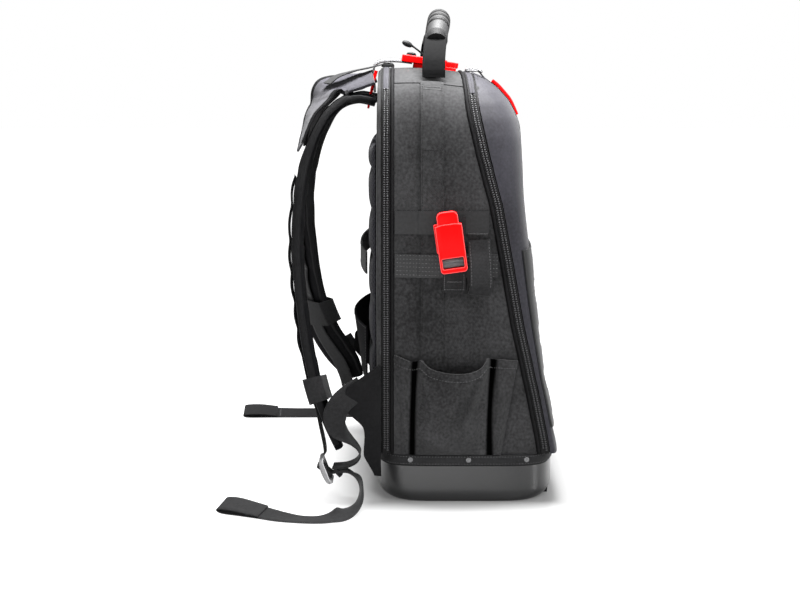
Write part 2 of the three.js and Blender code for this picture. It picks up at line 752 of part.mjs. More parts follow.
// A flat rounded outline with straight sides.
function roundedRect(path, x0, y0, x1, y1, r) {
  path.moveTo(x0 + r, y0);
  path.lineTo(x1 - r, y0);
  path.absarc(x1 - r, y0 + r, r, -Math.PI / 2, 0);
  path.lineTo(x1, y1 - r);
  path.absarc(x1 - r, y1 - r, r, 0, Math.PI / 2);
  path.lineTo(x0 + r, y1);
  path.absarc(x0 + r, y1 - r, r, Math.PI / 2, Math.PI);
  path.lineTo(x0, y0 + r);
  path.absarc(x0 + r, y0 + r, r, Math.PI, 1.5 * Math.PI);
  return path;
}

// A rectangular hole for a plate.
function rectangle(x0, y0, x1, y1) {
  const corners = [[x0, y0], [x1, y0], [x1, y1], [x0, y1]];
  return new THREE.Path(corners.map(([x, y]) => new THREE.Vector2(x, y)));
}

// A moulded plate, lying in its own xy plane.
function plate(shape, depth) {
  const geometry = new THREE.ExtrudeGeometry(shape, { depth, bevelEnabled: false, curveSegments: 2 });
  geometry.deleteAttribute('uv');
  geometry.deleteAttribute('normal');
  const merged = mergeVertices(geometry, 1e-3);
  merged.computeVertexNormals();
  return merged;
}

// The red buckle: a broad body with a narrower tongue above it and a window near its foot.
function buckle() {
  const [half, tongue] = [buckleWidth / 2, buckleWidth / 2 - 3];
  const [low, shoulder, high] = [-buckleLength / 2, buckleLength * 0.28, buckleLength / 2];
  const shape = new THREE.Shape();
  shape.moveTo(4 - half, low);
  shape.lineTo(half - 4, low);
  shape.absarc(half - 4, low + 4, 4, -Math.PI / 2, 0);
  shape.lineTo(half, shoulder);
  shape.lineTo(tongue, shoulder + 1);
  shape.lineTo(tongue, high - 6);
  shape.absarc(tongue - 6, high - 6, 6, 0, Math.PI / 2);
  shape.absarc(6 - tongue, high - 6, 6, Math.PI / 2, Math.PI);
  shape.lineTo(-tongue, shoulder + 1);
  shape.lineTo(-half, shoulder);
  shape.lineTo(-half, low + 4);
  shape.absarc(4 - half, low + 4, 4, Math.PI, 1.5 * Math.PI);
  shape.holes.push(rectangle(3 - half, low + 5, half - 3, low + 16));
  return plate(shape, buckleDepth);
}

// A three-bar slide: a frame with two slots.
function ladderLock() {
  const shape = roundedRect(new THREE.Shape(), -17, -15, 17, 15, 5);
  shape.holes.push(rectangle(-13.2, -10.5, 13.2, -3), rectangle(-13.2, 2, 13.2, 10.5));
  return plate(shape, 5);
}

// A mesh's geometry set up on three directions at a place.
function placed(geometry, across, up, out, place) {
  const matrix = new THREE.Matrix4().makeBasis(across, up, out);
  geometry.applyMatrix4(matrix.setPosition(place));
  return geometry;
}

// A slide in its place, standing along a direction in the side view.
function placedLock(x, y, z, lean) {
  const up = new THREE.Vector3(0, Math.sin(lean), Math.cos(lean));
  const across = new THREE.Vector3(1, 0, 0);
  const out = new THREE.Vector3().crossVectors(across, up);
  return placed(ladderLock().translate(0, 0, -2.5), across, up, out, new THREE.Vector3(x, y, z));
}

// A cloth triangle on the lower rear corner that the lower webbing is sewn into.
function wing() {
  const surface = (u, z) => {
    const row = lookup(wingRows, 'z', z);
    return new THREE.Vector3(THREE.MathUtils.lerp(-171.6, row.x, u), THREE.MathUtils.lerp(93.4, row.y, u), z);
  };
  const heights = wingRows.map((row) => row.z);
  return sheet((u, z) => surface(-u, z), [-1, -0.75, -0.5, -0.25, 0], heights, clothWall);
}

// The ribbed cushion on the wearer's side: flat behind, with a row of round ribs.
function backPad() {
  const across = [-1, -0.92, 0, 0.92, 1];
  const heights = [];
  ribNotches.slice(0, -1).forEach((notch, i) => {
    const next = ribNotches[i + 1];
    [0, 0.16, 0.5, 0.84].forEach((f) => heights.push(notch + (next - notch) * f));
  });
  heights.push(ribNotches[ribNotches.length - 1]);
  const outer = across.map((a) => heights.map((z) => padSurface(a, z)));
  const inner = across.map((a) => heights.map((z) => new THREE.Vector3(padHalf * a, padRoot, z)));
  return shell(outer, inner);
}

// A point of the ribbed cushion's outer face; across runs from -1 to 1.
function padSurface(across, z, lift = 0) {
  let i = 0;
  while (i < ribNotches.length - 2 && z > ribNotches[i + 1]) {
    i += 1;
  }
  const f = THREE.MathUtils.clamp((z - ribNotches[i]) / (ribNotches[i + 1] - ribNotches[i]), 0, 1);
  const rib = padValley + (padHeight - padValley) * (1 - Math.abs(2 * f - 1) ** 3.5);
  const ends = (1 - Math.abs(across) ** 8) ** 0.5;
  return new THREE.Vector3(padHalf * across, padRoot + 0.8 + (rib - 0.8) * ends + lift, z);
}

// A cloth band across the back that stands away from the cushion in the middle.
function backBand(half, low, high, rootLift, lowBulge, highBulge) {
  const root = padRoot + padHeight + rootLift;
  const surface = (u, z) => {
    const f = (z - low) / (high - low);
    const arch = Math.max(0, Math.cos((u * Math.PI) / 2)) ** 0.8;
    const bulge = THREE.MathUtils.lerp(lowBulge, highBulge, f) * arch;
    return new THREE.Vector3(-half * u, root + trimWall + bulge, z);
  };
  return sheet(surface, [-1, -0.85, -0.6, -0.3, 0, 0.3, 0.6, 0.85, 1], steps(low, high, 2), trimWall);
}

// The slotted cloth on the lower front, with rows of slits cut through it.
function slottedPanel() {
  const slits = slitPlaces.flatMap((x) => [x - slitWidth / 2, x + slitWidth / 2].map((v) => v / 166));
  const us = [-0.985, -0.93, ...slits, 0.93, 0.985];
  const vs = [slotLow];
  for (let row = 0; row < slotRows; row += 1) {
    const middle = slotLow + (row + 0.5) * slotPitch;
    vs.push(middle - slitHeight / 2, middle + slitHeight / 2);
  }
  vs.push(slotLow + slotRows * slotPitch);
  const surface = (u, z) => domePoint(u, z, 2 * gap + trimWall);
  const isSlit = (i, j) => i > 0 && i < us.length - 2 && i % 2 === 0 && j % 2 === 1;
  return sheet(surface, us, vs, trimWall, isSlit);
}

// The bare rubber patch on the upper front.
function frontPatch() {
  const surface = (x, z) => domePoint(x / 150, z, gap + 2.6);
  return sheet(surface, steps(-34, 34, 4), steps(386, 416, 3), 2.6);
}

// A round tapering cord with an oval knob at its end.
function cordPull() {
  const rows = table(['x', 'y', 'z', 'r'], [
    [-24, 36, 476.5, 1.1],
    [-24, 42, 484, 1.1],
    [-25, 49, 492, 1.1],
    [-26, 57.5, 498.5, 1.2],
    [-26.3, 60, 499.6, 2.6],
    [-26.8, 64, 501.4, 3.4],
    [-27.2, 67.5, 502.9, 2.8],
    [-27.4, 69.5, 503.8, 1.2],
  ]);
  const rings = rows.map((row, i) => {
    const [a, b] = [rows[Math.max(0, i - 1)], rows[Math.min(rows.length - 1, i + 1)]];
    const travel = new THREE.Vector3(b.x - a.x, b.y - a.y, b.z - a.z).normalize();
    const side = new THREE.Vector3(1, 0, 0).addScaledVector(travel, -travel.x).normalize();
    const up = new THREE.Vector3().crossVectors(side, travel);
    return Array.from({ length: 8 }, (_, k) => {
      const angle = (k / 8) * 2 * Math.PI;
      return new THREE.Vector3(row.x, row.y, row.z)
        .addScaledVector(side, row.r * Math.cos(angle))
        .addScaledVector(up, row.r * Math.sin(angle));
    });
  });
  return loft(rings);
}

const frontDish = {
  rows: domeRows,
  edge: (z) => lookup(frontSeam, 'z', z).y - zipWidth - 2 * pipingRadius + 0.4,
  roundness: domeRoundness,
  outwards: 1,
};
const backDish = {
  rows: lidRows,
  edge: () => rearPipingY + zipWidth + 2.9,
  roundness: lidRoundness,
  outwards: -1,
};

// The daisy chain of webbing down the outer face of a shoulder pad, which runs on to the slide.
function strapWebbing(rows, chainEnd) {
  const [start, leave] = [0.42, 0.9];
  const lift = (row, t) => {
    const chain = t < chainEnd ? 2 * Math.abs(Math.sin((Math.PI * (t - start)) / 0.06)) : 0;
    const away = 12 * (Math.max(0, t - leave) / (1 - leave)) ** 1.5;
    return row.thick / 2 + gap + 0.8 + chain + away;
  };
  return strap(rows, webbing, trimWall, 30, { from: start, to: 1, lift });
}

// The line of the red pull that hangs from the front zip over the soft front.
function pullRows() {
  return [455.5, 451, 444, 434, 424, 417].map((z) => {
    const point = domePoint(-45 / lookup(domeRows, 'z', z).half, z, 4.4);
    return { x: point.x, y: point.y, z: point.z, wx: 1, wy: 0, wz: 0 };
  });
}

// A zip's slider: a small rounded body.
function slider() {
  return plate(roundedRect(new THREE.Shape(), -4.2, -7.5, 4.2, 7.5, 2), 4.6);
}

const group = new THREE.Group();

// Adds a named mesh; a mirrored one is the same shape turned over to the right side.
function add(name, geometry, look, mirrored = false) {
  const mesh = new THREE.Mesh(geometry, new THREE.MeshStandardMaterial(look));
  mesh.name = name;
  if (mirrored) {
    mesh.scale.x = -1;
  }
  group.add(mesh);
}

// Adds a left piece and its mirrored twin.
function addPair(name, geometry, look) {
  add(`${name}_left`, geometry, look);
  add(`${name}_right`, geometry.clone(), look, true);
}

add('base_shell', baseShell(), mouldedGrey);
add('front_foot', frontFoot(), darkRubber);
add('base_binding', baseBinding(), tapeCloth);
const seamPlace = sideAt(458);
const split = 0.0012;
add('side_panel_left', gusset(0, seamPlace - split, 11), blackCloth);
add('top_panel', gusset(seamPlace + split, 1 - seamPlace - split, 10), blackCloth);
add('side_panel_right', gusset(1 - seamPlace + split, 1, 11), blackCloth);
const zipCentre = pipingRadius + gap / 2 + zipWidth / 2 + 0.2;
add('front_piping', bodyTrim((s) => seamY(s), pipingSection()), tapeCloth);
add('front_zip', bodyTrim((s) => seamY(s) - zipCentre, zipSection()), tapeCloth);
add('rear_piping', bodyTrim(() => rearPipingY, pipingSection()), tapeCloth);
add('rear_zip', bodyTrim(() => rearPipingY + zipCentre, zipSection()), tapeCloth);
add('front_dome', dishShell(frontDish, domeWall, 12), blueCloth);
add('front_slotted_panel', slottedPanel(), blackCloth);
add('front_patch', frontPatch(), darkRubber);
add('back_lid', dishShell(backDish, clothWall, 8), blueCloth);
add('back_pad', backPad(), blueCloth);
add('back_loop', backBand(124, 249, 274, 0.6, 9, 9), blueCloth);
add('trolley_sleeve', backBand(124, 128, 190, 0.6, 8, 17), blueCloth);

addPair('side_strip', sideStrip(), blackCloth);
addPair('upper_band', sideBand(-23.5, 297, 322), blackCloth);
addPair('lower_band', sideBand(-33, 251, 276), blackCloth);
addPair('buckle_web', sidePatch([26.5, 14, 1.5], [236, 258, 290, 316], () => 4.6), blackCloth);
addPair('tool_loop', strap(toolLoop, webbing - 1, trimWall, 14), blackCloth);
addPair('side_pocket', sidePocket(), blackCloth);
const forward = new THREE.Vector3(0, -1, 0);
const upwards = new THREE.Vector3(0, 0, 1);
const leftwards = new THREE.Vector3(-1, 0, 0);
const buckleLean = THREE.MathUtils.degToRad(8);
const sideBuckle = buckle().rotateZ(buckleLean);
const sideBucklePlace = new THREE.Vector3(-176.4, 17, 291);
addPair('side_buckle', placed(sideBuckle, forward, upwards, leftwards, sideBucklePlace), redPlastic);

addPair('handle_webbing', strap(handleWebbing, webbing, 2.4, 12), blackCloth);
add('handle_grip', pad(gripRows, 10, 12, 1), greyRubber);
add('top_strap', strap(topStrap, webbing, 2.4, 16), blackCloth);
const topLean = THREE.MathUtils.degToRad(4);
const topBuckle = placed(buckle(), new THREE.Vector3(-1, 0, 0), forward, upwards, new THREE.Vector3());
topBuckle.rotateX(topLean).translate(0, 38, 477.8);
add('top_buckle', topBuckle, redPlastic);

add('shoulder_pad_left', pad(padRowsLeft, 17, 10), blueCloth);
add('shoulder_pad_right', pad(padRowsRight, 17, 10), blueCloth);
add('strap_webbing_left', strapWebbing(padRowsLeft, 0.78), tapeCloth);
add('strap_webbing_right', strapWebbing(padRowsRight, 0.72), tapeCloth);
addPair('yoke_flap', pad(yokeRows, 9, 8), blueCloth);
const keeperRoom = { width: 0.8, thick: 3.6 };
add('keeper_left', sleeve(padRowsLeft, 0.835, 0.892, keeperRoom, 1.4), tapeCloth);
add('keeper_right', sleeve(padRowsRight, 0.73, 0.785, keeperRoom, 1.4), tapeCloth);
addPair('wing', wing(), blackCloth);
add('lower_webbing_left', strap(lowerWebLeft, webbing, trimWall, 18), tapeCloth);
add('lower_webbing_right', strap(lowerWebRight, webbing, trimWall, 14), tapeCloth);
add('webbing_tail_left', strap(tailLeft, webbing, trimWall, 32), tapeCloth);
add('webbing_tail_right', strap(tailRight, webbing, trimWall, 30), tapeCloth);
add('ladder_lock_left', placedLock(-157, 153.5, 36, 0.367), darkPlastic);
add('ladder_lock_right', placedLock(152, 134.4, 43.5, -0.25), darkPlastic);

const frontSliderPlace = new THREE.Vector3(-45, -5.2, 472.2);
const rearSliderPlace = new THREE.Vector3(-24, 87.3, 476.2);
add('front_slider', placed(slider(), leftwards, forward, upwards, frontSliderPlace), paleMetal);
add('front_pull', strap(pullRows(), 11, 4, 8), redPlastic);
add('rear_slider', placed(slider(), leftwards, forward, upwards, rearSliderPlace), darkPlastic);
add('rear_pull', strap(rearPull, 10, 4, 6), redPlastic);
add('zip_cord_pull', cordPull(), darkRubber);

export default group;
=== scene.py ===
# The looks of a tool backpack, in millimetres until each mesh is made.
# The pack stands on its base, +Z is up, -Y is its front and +Y its wearer's side.
import json
import math

import bmesh
import bpy
from mathutils import Matrix, Vector, noise

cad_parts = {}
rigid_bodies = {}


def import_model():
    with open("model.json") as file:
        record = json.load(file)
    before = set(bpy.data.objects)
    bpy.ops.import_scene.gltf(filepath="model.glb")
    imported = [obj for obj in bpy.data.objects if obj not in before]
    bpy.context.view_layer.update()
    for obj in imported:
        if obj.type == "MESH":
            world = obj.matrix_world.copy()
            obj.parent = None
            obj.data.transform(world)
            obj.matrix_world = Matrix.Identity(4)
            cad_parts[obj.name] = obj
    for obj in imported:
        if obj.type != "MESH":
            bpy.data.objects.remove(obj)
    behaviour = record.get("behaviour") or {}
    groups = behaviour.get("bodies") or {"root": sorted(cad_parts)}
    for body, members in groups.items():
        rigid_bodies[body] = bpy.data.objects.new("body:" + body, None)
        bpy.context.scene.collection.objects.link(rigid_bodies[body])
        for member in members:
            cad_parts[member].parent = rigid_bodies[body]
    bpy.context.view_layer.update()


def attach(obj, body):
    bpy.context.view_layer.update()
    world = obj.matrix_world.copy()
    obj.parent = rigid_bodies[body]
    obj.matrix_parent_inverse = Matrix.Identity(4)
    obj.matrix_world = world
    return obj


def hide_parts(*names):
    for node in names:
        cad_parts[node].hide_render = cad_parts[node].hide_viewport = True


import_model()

# Main sizes
millimetre = 0.001
body_top = 474
body_bottom = 54.4
shell_half_width = 168.5
shell_half_depth = 100
shell_height = 42
shell_wall = 3
shell_edge_height = 16
shell_edge_depth = 16
shell_edge_width = 7
shell_roundness = 6
binding_grow = 1.5
cloth_wall = 2
trim_wall = 1.6
gap = 0.4
webbing = 25
piping_radius = 1.9
zip_width = 9.2
rear_piping_y = 80.7
top_slope = 0.055
dome_roundness = 3.6
lid_roundness = 9
cloth_swell = 2.2
strip_rear = 50
strip_front = 25
buckle_width = 29
buckle_length = 66
buckle_depth = 8.4
rib_notches = [72, 123, 172, 221, 270, 319, 366, 392]
pad_half = 142
pad_root = 99.2
pad_valley = 3.4
pad_height = 8.4
slot_rows = 4
slot_low = 84
slot_pitch = 49
slit_height = 25
slit_width = 4
slit_places = [-133, -95, -57, -19, 19, 57, 95, 133]

# Fine details
tooth_pitch = 2.5
tooth_column = 1.7
teeth_top = 450
stitch_pitch = 3.2
tack_pitch = 1.4
chain_start = 0.42
chain_pitch = 0.06
stitch_inset = 1.8
hem_seam = 0.918
rivet_places = [61, -3, -67]
rivet_height = 48.6


# A table's rows as dictionaries, with its columns and its constant values named once.
def table(names, rows, **constants):
    return [{**dict(zip(names.split(), row)), **constants} for row in rows]


# The front view's outline of the left half, from the base up to the middle of the top.
outline = table("x z", [
    (-164, 54.4),
    (-167, 95),
    (-168, 150),
    (-168, 210),
    (-166, 280),
    (-161.5, 340),
    (-154, 395),
    (-141, 434),
    (-120, 459),
    (-88, 469.5),
    (-45, 473),
    (0, 474),
])

# How far forward the front piping runs at each height.
front_seam = table("z y", [
    (54, -81),
    (97, -73),
    (140, -63.5),
    (197, -50.5),
    (266, -38),
    (327, -26.5),
    (372, -15),
    (399, -8.5),
    (430, -2),
    (457, 1),
    (480, 2.5),
])

# The front's rows: height at the sides, rise to the middle, half width and where the middle's face is.
dome_rows = table("z crown half face", [
    (54.6, 0, 163.4, -105.6),
    (75, 0, 165.3, -100.8),
    (100, 0, 166.8, -95.6),
    (140, 0, 167.6, -87),
    (190, 0, 167.8, -81.4),
    (240, 0, 167, -76.2),
    (280, 0, 165.6, -73),
    (330, 0, 162, -67.8),
    (370, 0, 157.3, -66.2),
    (400, 0, 152, -64.4),
    (420, 0, 145, -60),
    (437, 2, 134.5, -50.5),
    (449, 5, 121, -37.5),
    (457, 7, 105, -25),
    (463.5, 6, 84, -12.3),
])

# The back lid's rows, in the same columns.
lid_rows = table("z crown half face", [
    (54.6, 0, 163.4, 97.5),
    (100, 0, 166.8, 98.2),
    (210, 0, 167.8, 98.5),
    (280, 0, 165.6, 98.5),
    (340, 0, 161, 98.5),
    (395, 0, 153.5, 98.2),
    (432, 0, 141, 97.8),
    (452, 4, 125, 97.2),
    (462, 8, 106, 96),
    (467.5, 6.5, 88, 93.8),
])

# The yoke's upper flap on the left, which joins the pad over the shoulder.
yoke_rows = table("x y z wx wy wz half thick", [
    (-61, 102.2, 464.1, 0.98, 0.05, 0.21, 30.5, 7),
    (-61, 118.8, 458.9, 0.97, -0.01, 0.24, 31, 8.0),
    (-61, 135.6, 455.9, 0.96, 0.1, 0.27, 34, 5.0),
    (-66, 151.7, 450.7, 0.94, 0.18, 0.30, 37.4, 4.5),
    (-73, 161.3, 436.6, 0.98, 0.15, 0.16, 35.9, 4),
    (-80, 171.7, 420.9, 0.99, 0.14, 0.04, 35.4, 3.5),
    (-86, 178.8, 402.4, 0.99, 0.12, -0.02, 35.2, 3),
    (-90, 183.7, 386.8, 0.99, 0.10, -0.05, 35.2, 2.4),
])

# The free edge of the left wing: height, distance back and distance out.
wing_rows = table("z y x", [
    (31, 100.5, -169.5),
    (42, 106, -170),
    (54, 112, -171),
    (85.6, 112.5, -173),
    (106, 131, -175.4),
    (120, 131.6, -176),
    (131, 130.5, -175.6),
    (137, 121, -174.4),
    (146, 108.5, -172.8),
    (154, 97.5, -171.8),
])

# The tool loop beside the buckle: down, round under its own end and back up behind.
tool_loop = table("x y z wx wy wz", [
    (-174.4, -12.5, 292.5, 0, 1, 0),
    (-176.4, -13.2, 281, 0, 1, 0),
    (-180.4, -14.2, 266, 0, 1, 0),
    (-184, -14.6, 251, 0, 1, 0),
    (-185.4, -14, 241, 0, 1, 0.05),
    (-183.2, -12.8, 235.2, 0, 1, 0.1),
    (-178.8, -12.2, 235.6, 0, 1, 0.1),
    (-175.6, -12, 243, 0, 1, 0),
    (-174.6, -12, 256, 0, 1, 0),
    (-174.6, -12, 266, 0, 1, 0),
])

# The left leg of the carrying handle, from the top seam to the grip.
handle_rows = table("x y z", [
    (-117.5, 35.5, 464.4),
    (-114.5, 35.5, 474),
    (-106, 35, 487),
    (-90, 33.5, 500),
    (-64.5, 31, 511),
], wx=0, wy=1, wz=0)

# The ribbed rubber grip.
grip_rows = table("x y z half thick", [
    (-67.5, 31.4, 508, 11.5, 23),
    (-45, 29, 519, 12.6, 25.2),
    (-22, 27.6, 526.4, 13, 26),
    (0, 27.2, 528.6, 13, 26),
    (22, 27.6, 526.4, 13, 26),
    (45, 29, 519, 12.6, 25.2),
    (67.5, 31.4, 508, 11.5, 23),
], wx=0, wy=1, wz=0)

# The short strap that ties the yoke to the buckle on top.
top_strap_rows = table("x y z", [
    (0, 58, 480.6),
    (0, 72, 482.4),
    (0, 84, 482.8),
    (0, 95, 481.6),
    (0, 101.5, 477),
    (0, 103, 469),
    (0, 102.2, 456),
    (0, 101.6, 446),
], wx=1, wy=0, wz=0.1)

# The red pull of the rear zip.
rear_pull_rows = table("x y z", [
    (-24, 99.5, 471),
    (-24, 102, 462),
    (-24, 104.6, 450),
    (-24, 107.4, 436),
    (-24, 109, 428),
], wx=1, wy=0, wz=0)

# The left shoulder pad's middle line, from the back panel over the shoulder down to its tip.
pad_rows_left = table("x y z half thick", [
    (-64, 100.8, 437.5, 30, 12),
    (-65, 118, 440.5, 31, 11),
    (-69, 135, 436.5, 32, 11.5),
    (-75, 146.5, 429, 34, 12),
    (-82, 158.2, 415, 36, 12),
    (-90, 169.4, 392, 36, 12),
    (-98, 178.4, 362, 35, 14),
    (-105, 183.2, 330, 35, 14),
    (-112, 186, 288, 34, 13),
    (-118, 184.8, 250, 33, 12),
    (-124, 181.2, 215, 32, 11),
    (-130, 176.8, 183, 31, 12),
    (-136, 171, 152, 29, 12),
    (-142, 163.3, 121, 26, 12),
    (-147, 153, 91, 22, 11),
    (-151, 139.5, 58, 15, 8),
], wx=1, wy=0, wz=0)

# The right shoulder pad hangs twisted, its lower end nearer to the back panel.
pad_rows_right = table("x y z wx wy wz half thick", [
    (64, 100.8, 437.5, 1, 0, 0, 30, 12),
    (65, 118, 440.5, 1, 0, 0, 31, 11),
    (69, 135, 436.5, 1, 0, 0, 32, 11.5),
    (75, 146.5, 429, 1, 0, 0, 34, 12),
    (82, 158.2, 415, 1, 0, 0, 36, 12),
    (88, 169.4, 392, 1, 0, 0, 36, 12),
    (94, 180, 362, 1, 0.1, 0, 35, 14),
    (99, 186.5, 330, 1, 0.16, -0.05, 35, 14),
    (105, 189.5, 288, 1, 0.24, -0.12, 35, 14),
    (110, 188, 253, 1, 0.28, -0.16, 35, 13),
    (114, 185.5, 223, 1, 0.33, -0.2, 34, 12),
    (118, 181, 183, 1, 0.5, -0.2, 33, 12),
    (122, 169.5, 146, 1, 0.66, -0.26, 31, 12),
    (126, 156, 121, 1, 0.74, -0.46, 28, 12),
    (130, 142, 99, 1, 0.62, -0.68, 24, 11),
    (133, 130, 80, 1, 0.5, -0.75, 16, 8),
])

# The left lower webbing leaves the wing face on, turns edge on and runs back to its buckle.
lower_rows_left = table("x y z wx wy wz", [
    (-170.5, 113, 131, 0, 0.5, 0.87),
    (-173.6, 125, 124, 0, 0.56, 0.83),
    (-177.4, 136, 115, 0, 0.7, 0.71),
    (-178, 142.5, 104, -0.06, 0.86, 0.5),
    (-176.4, 143, 95, -0.25, 0.93, 0.25),
    (-173, 139.5, 86, -0.6, 0.78, 0.1),
    (-168.6, 132.5, 77.5, -0.88, 0.45, 0.05),
    (-164.6, 124.6, 69, -0.99, 0.12, 0),
    (-162, 118.5, 61, -1, 0, 0),
    (-160, 116.4, 53, -1, 0, 0),
    (-159, 120.5, 45.5, -1, 0, 0),
    (-158, 131, 40.4, -1, 0, 0),
    (-157, 146.4, 38.8, -1, 0, 0),
])

# The right lower webbing is short and hangs behind the pack.
lower_rows_right = table("x y z wx wy wz", [
    (178.2, 130.5, 118, 0, 0, 1),
    (178.5, 140, 112, 0, 0.3, 0.9),
    (176, 147, 102, 0.4, 0.7, 0.5),
    (170, 149.5, 90, 0.8, 0.5, 0.2),
    (162, 148.5, 76, 0.98, 0.2, 0),
    (156, 146, 62, 1, 0, 0),
    (153, 142.5, 52, 1, 0, 0),
    (152, 139.4, 45.5, 1, 0, 0),
])

# The left free tail drops from its buckle to the ground and lies there, with a sewn loop at its end.
tail_rows_left = table("x y z wx wy wz", [
    (-157, 145.8, 33.6, -1, 0, 0),
    (-159, 136, 34.4, -0.94, 0.35, 0.04),
    (-165, 125, 31, -0.72, 0.51, 0.46),
    (-180, 116, 24, -0.38, 0, 0.93),
    (-203, 117, 15.5, -0.35, -0.42, 0.84),
    (-221, 123.5, 10, -0.44, -0.83, 0.3),
    (-232, 133, 7, -0.72, -0.62, -0.25),
    (-236.5, 147, 3.4, -0.98, -0.18, -0.1),
    (-237, 162, 1.5, -1, 0.04, 0),
    (-235, 181, 1.6, -0.98, 0.18, 0),
    (-230, 201, 3, -0.94, 0.32, -0.11),
    (-222, 220, 4.6, -0.89, 0.4, -0.21),
    (-213, 240, 5.6, -0.87, 0.39, -0.3),
    (-205, 259, 5.8, -0.88, 0.38, -0.3),
    (-203, 265, 8.3, -0.88, 0.38, -0.29),
    (-205.5, 261, 10.5, -0.88, 0.38, -0.29),
    (-211, 248, 10.6, -0.87, 0.39, -0.3),
    (-219.4, 228.3, 8.1, -0.88, 0.41, -0.24),
    (-223.2, 218.7, 6.7, -0.9, 0.4, -0.2),
])

# The right free tail lies on the ground on the far side.
tail_rows_right = table("x y z wx wy wz", [
    (152, 129.6, 41, 1, 0, 0),
    (153, 122, 37, 1, 0, 0),
    (158, 115, 30, 0.85, 0.3, 0.4),
    (169, 108, 21.5, 0.5, 0.3, 0.8),
    (184, 100, 15, 0.15, 0.1, 1),
    (204, 93, 13.4, 0, 0, 1),
    (224, 89, 13.2, 0, 0, 1),
    (239, 95, 12.6, 0.3, -0.2, 0.93),
    (245.5, 109, 10.2, 0.66, -0.1, 0.74),
    (247, 128, 7.4, 0.86, 0, 0.5),
    (247.5, 150, 5.4, 0.95, 0, 0.32),
    (247.5, 180, 4.6, 0.96, 0, 0.28),
    (247, 215, 4.6, 0.96, 0, 0.28),
    (246, 250, 5.2, 0.95, 0, 0.32),
    (245, 279, 5.6, 0.94, 0, 0.34),
    (244.2, 285.3, 7.9, 0.94, 0, 0.34),
    (243.4, 280, 10.1, 0.94, 0, 0.34),
    (243.8, 262, 10.2, 0.94, 0, 0.34),
    (245.5, 240, 7.4, 0.95, 0, 0.32),
])

# The side pocket's folds from its rear edge to its front edge: rim height and how far it stands out.
pocket_folds = table("y foot rim out footOut", [
    (79, 79, 167, 0, 0),
    (70, 72, 164, 6, 1.5),
    (61.5, 64, 161.5, 9, 3),
    (55.5, 59, 160.5, 4.5, 1.5),
    (50.5, 55, 164, 15, 5),
    (40, 46, 155.5, 20, 7),
    (24, 31, 151, 22, 8),
    (10, 18, 150, 22.5, 8),
    (-3, 5, 151, 22, 8),
    (-14, -8, 155.5, 20, 7),
    (-23, -18, 166, 16, 5),
    (-28.5, -24, 163, 3.5, 1),
    (-35, -31, 164, 10, 3.5),
    (-46, -34.5, 162.5, 7, 2.5),
    (-56, -38, 160.5, 0, 0),
])

# Creases in the pocket's cloth: from one point to another, how wide and how high they stand.
pocket_creases = table("y0 z0 y1 z1 wide high", [
    (-20, 158, 3, 94, 4.5, 5.6),
    (-15, 118, -20, 58, 6, -4.4),
    (50, 147, 40, 112, 3, 4),
    (54, 88, 13, 60, 6, 4.6),
    (30, 100, 20, 62, 9, -4.4),
    (6, 120, 14, 70, 7, -3.6),
    (-36, 132, -42, 98, 4, 3.6),
    (-42, 104, -34, 60, 3.2, 4.4),
    (69, 136, 68, 63, 3, 2.8),
])


def clamp(value, low, high):
    return max(low, min(high, value))


def lerp(a, b, t):
    return a + (b - a) * t


# A smooth rise from 0 to 1 between two values.
def smoothstep(value, low, high):
    t = clamp((value - low) / (high - low), 0, 1)
    return t * t * (3 - 2 * t)


# Even steps between two values, both included.
def steps(low, high, count):
    return [low + (high - low) * i / count for i in range(count + 1)]


# A soft unevenness between about -1 and 1, the same in every run.
def ripple(place, size, seed=0):
    return noise.noise(Vector(place) / size + Vector((seed, seed * 2, seed * 3)))


# A value between neighbouring rows of a table, on a smooth curve through them.
def sample(rows, t):
    place = clamp(t, 0, 1) * (len(rows) - 1)
    i = min(int(place), len(rows) - 2)
    f = place - i
    near = [rows[clamp(k, 0, len(rows) - 1)] for k in (i - 1, i, i + 1, i + 2)]
    result = {}
    for key in rows[0]:
        a, b, c, d = (row[key] for row in near)
        result[key] = b + 0.5 * f * (c - a + f * (2 * a - 5 * b + 4 * c - d + f * (3 * (b - c) + d - a)))
    return result


# The share of a table's length at which one rising column has a value.
def share_at(rows, key, value):
    i = 0
    while i < len(rows) - 2 and value > rows[i + 1][key]:
        i += 1
    f = clamp((value - rows[i][key]) / (rows[i + 1][key] - rows[i][key]), 0, 1)
    return (i + f) / (len(rows) - 1)


# A table's row at a value of one of its columns.
def lookup(rows, key, value):
    return sample(rows, share_at(rows, key, value))


# The outline of both halves; s runs from 0 at the left foot over the top to 1 at the right foot.
def outline_point(s):
    point = sample(outline, 2 * min(s, 1 - s))
    return (-point["x"] if s > 0.5 else point["x"]), point["z"]


# The outward direction of the body's outline.
def outline_normal(s):
    (ax, az), (bx, bz) = outline_point(max(0, s - 1e-4)), outline_point(min(1, s + 1e-4))
    return Vector((az - bz, 0, bx - ax)).normalized()


# The body's surface around the sides and top; y runs from back to front and lift goes outwards.
def body_point(s, y, lift=0.0):
    x, z = outline_point(s)
    drop = top_slope * (rear_piping_y - y) * smoothstep(z, 330, body_top)
    return Vector((x, y, z - drop)) + outline_normal(s) * lift


# The outline's share at a height on the side.
def side_at(z):
    return share_at(outline, "z", z) / 2


# Where the front seam runs.
def seam_y(s):
    return lookup(front_seam, "z", outline_point(s)[1])["y"]


# How far the cloth bulges between its seams.
def swell_at(s, y):
    rear = rear_piping_y - piping_radius - gap
    front = seam_y(s) + piping_radius + gap
    return cloth_swell * math.sin(math.pi * clamp((rear - y) / (rear - front), 0, 1))


# A point of the left side's cloth, lifted off it by a distance.
def side_point(y, z, lift=0.0):
    s = side_at(z)
    return body_point(s, y, swell_at(s, y) + lift)


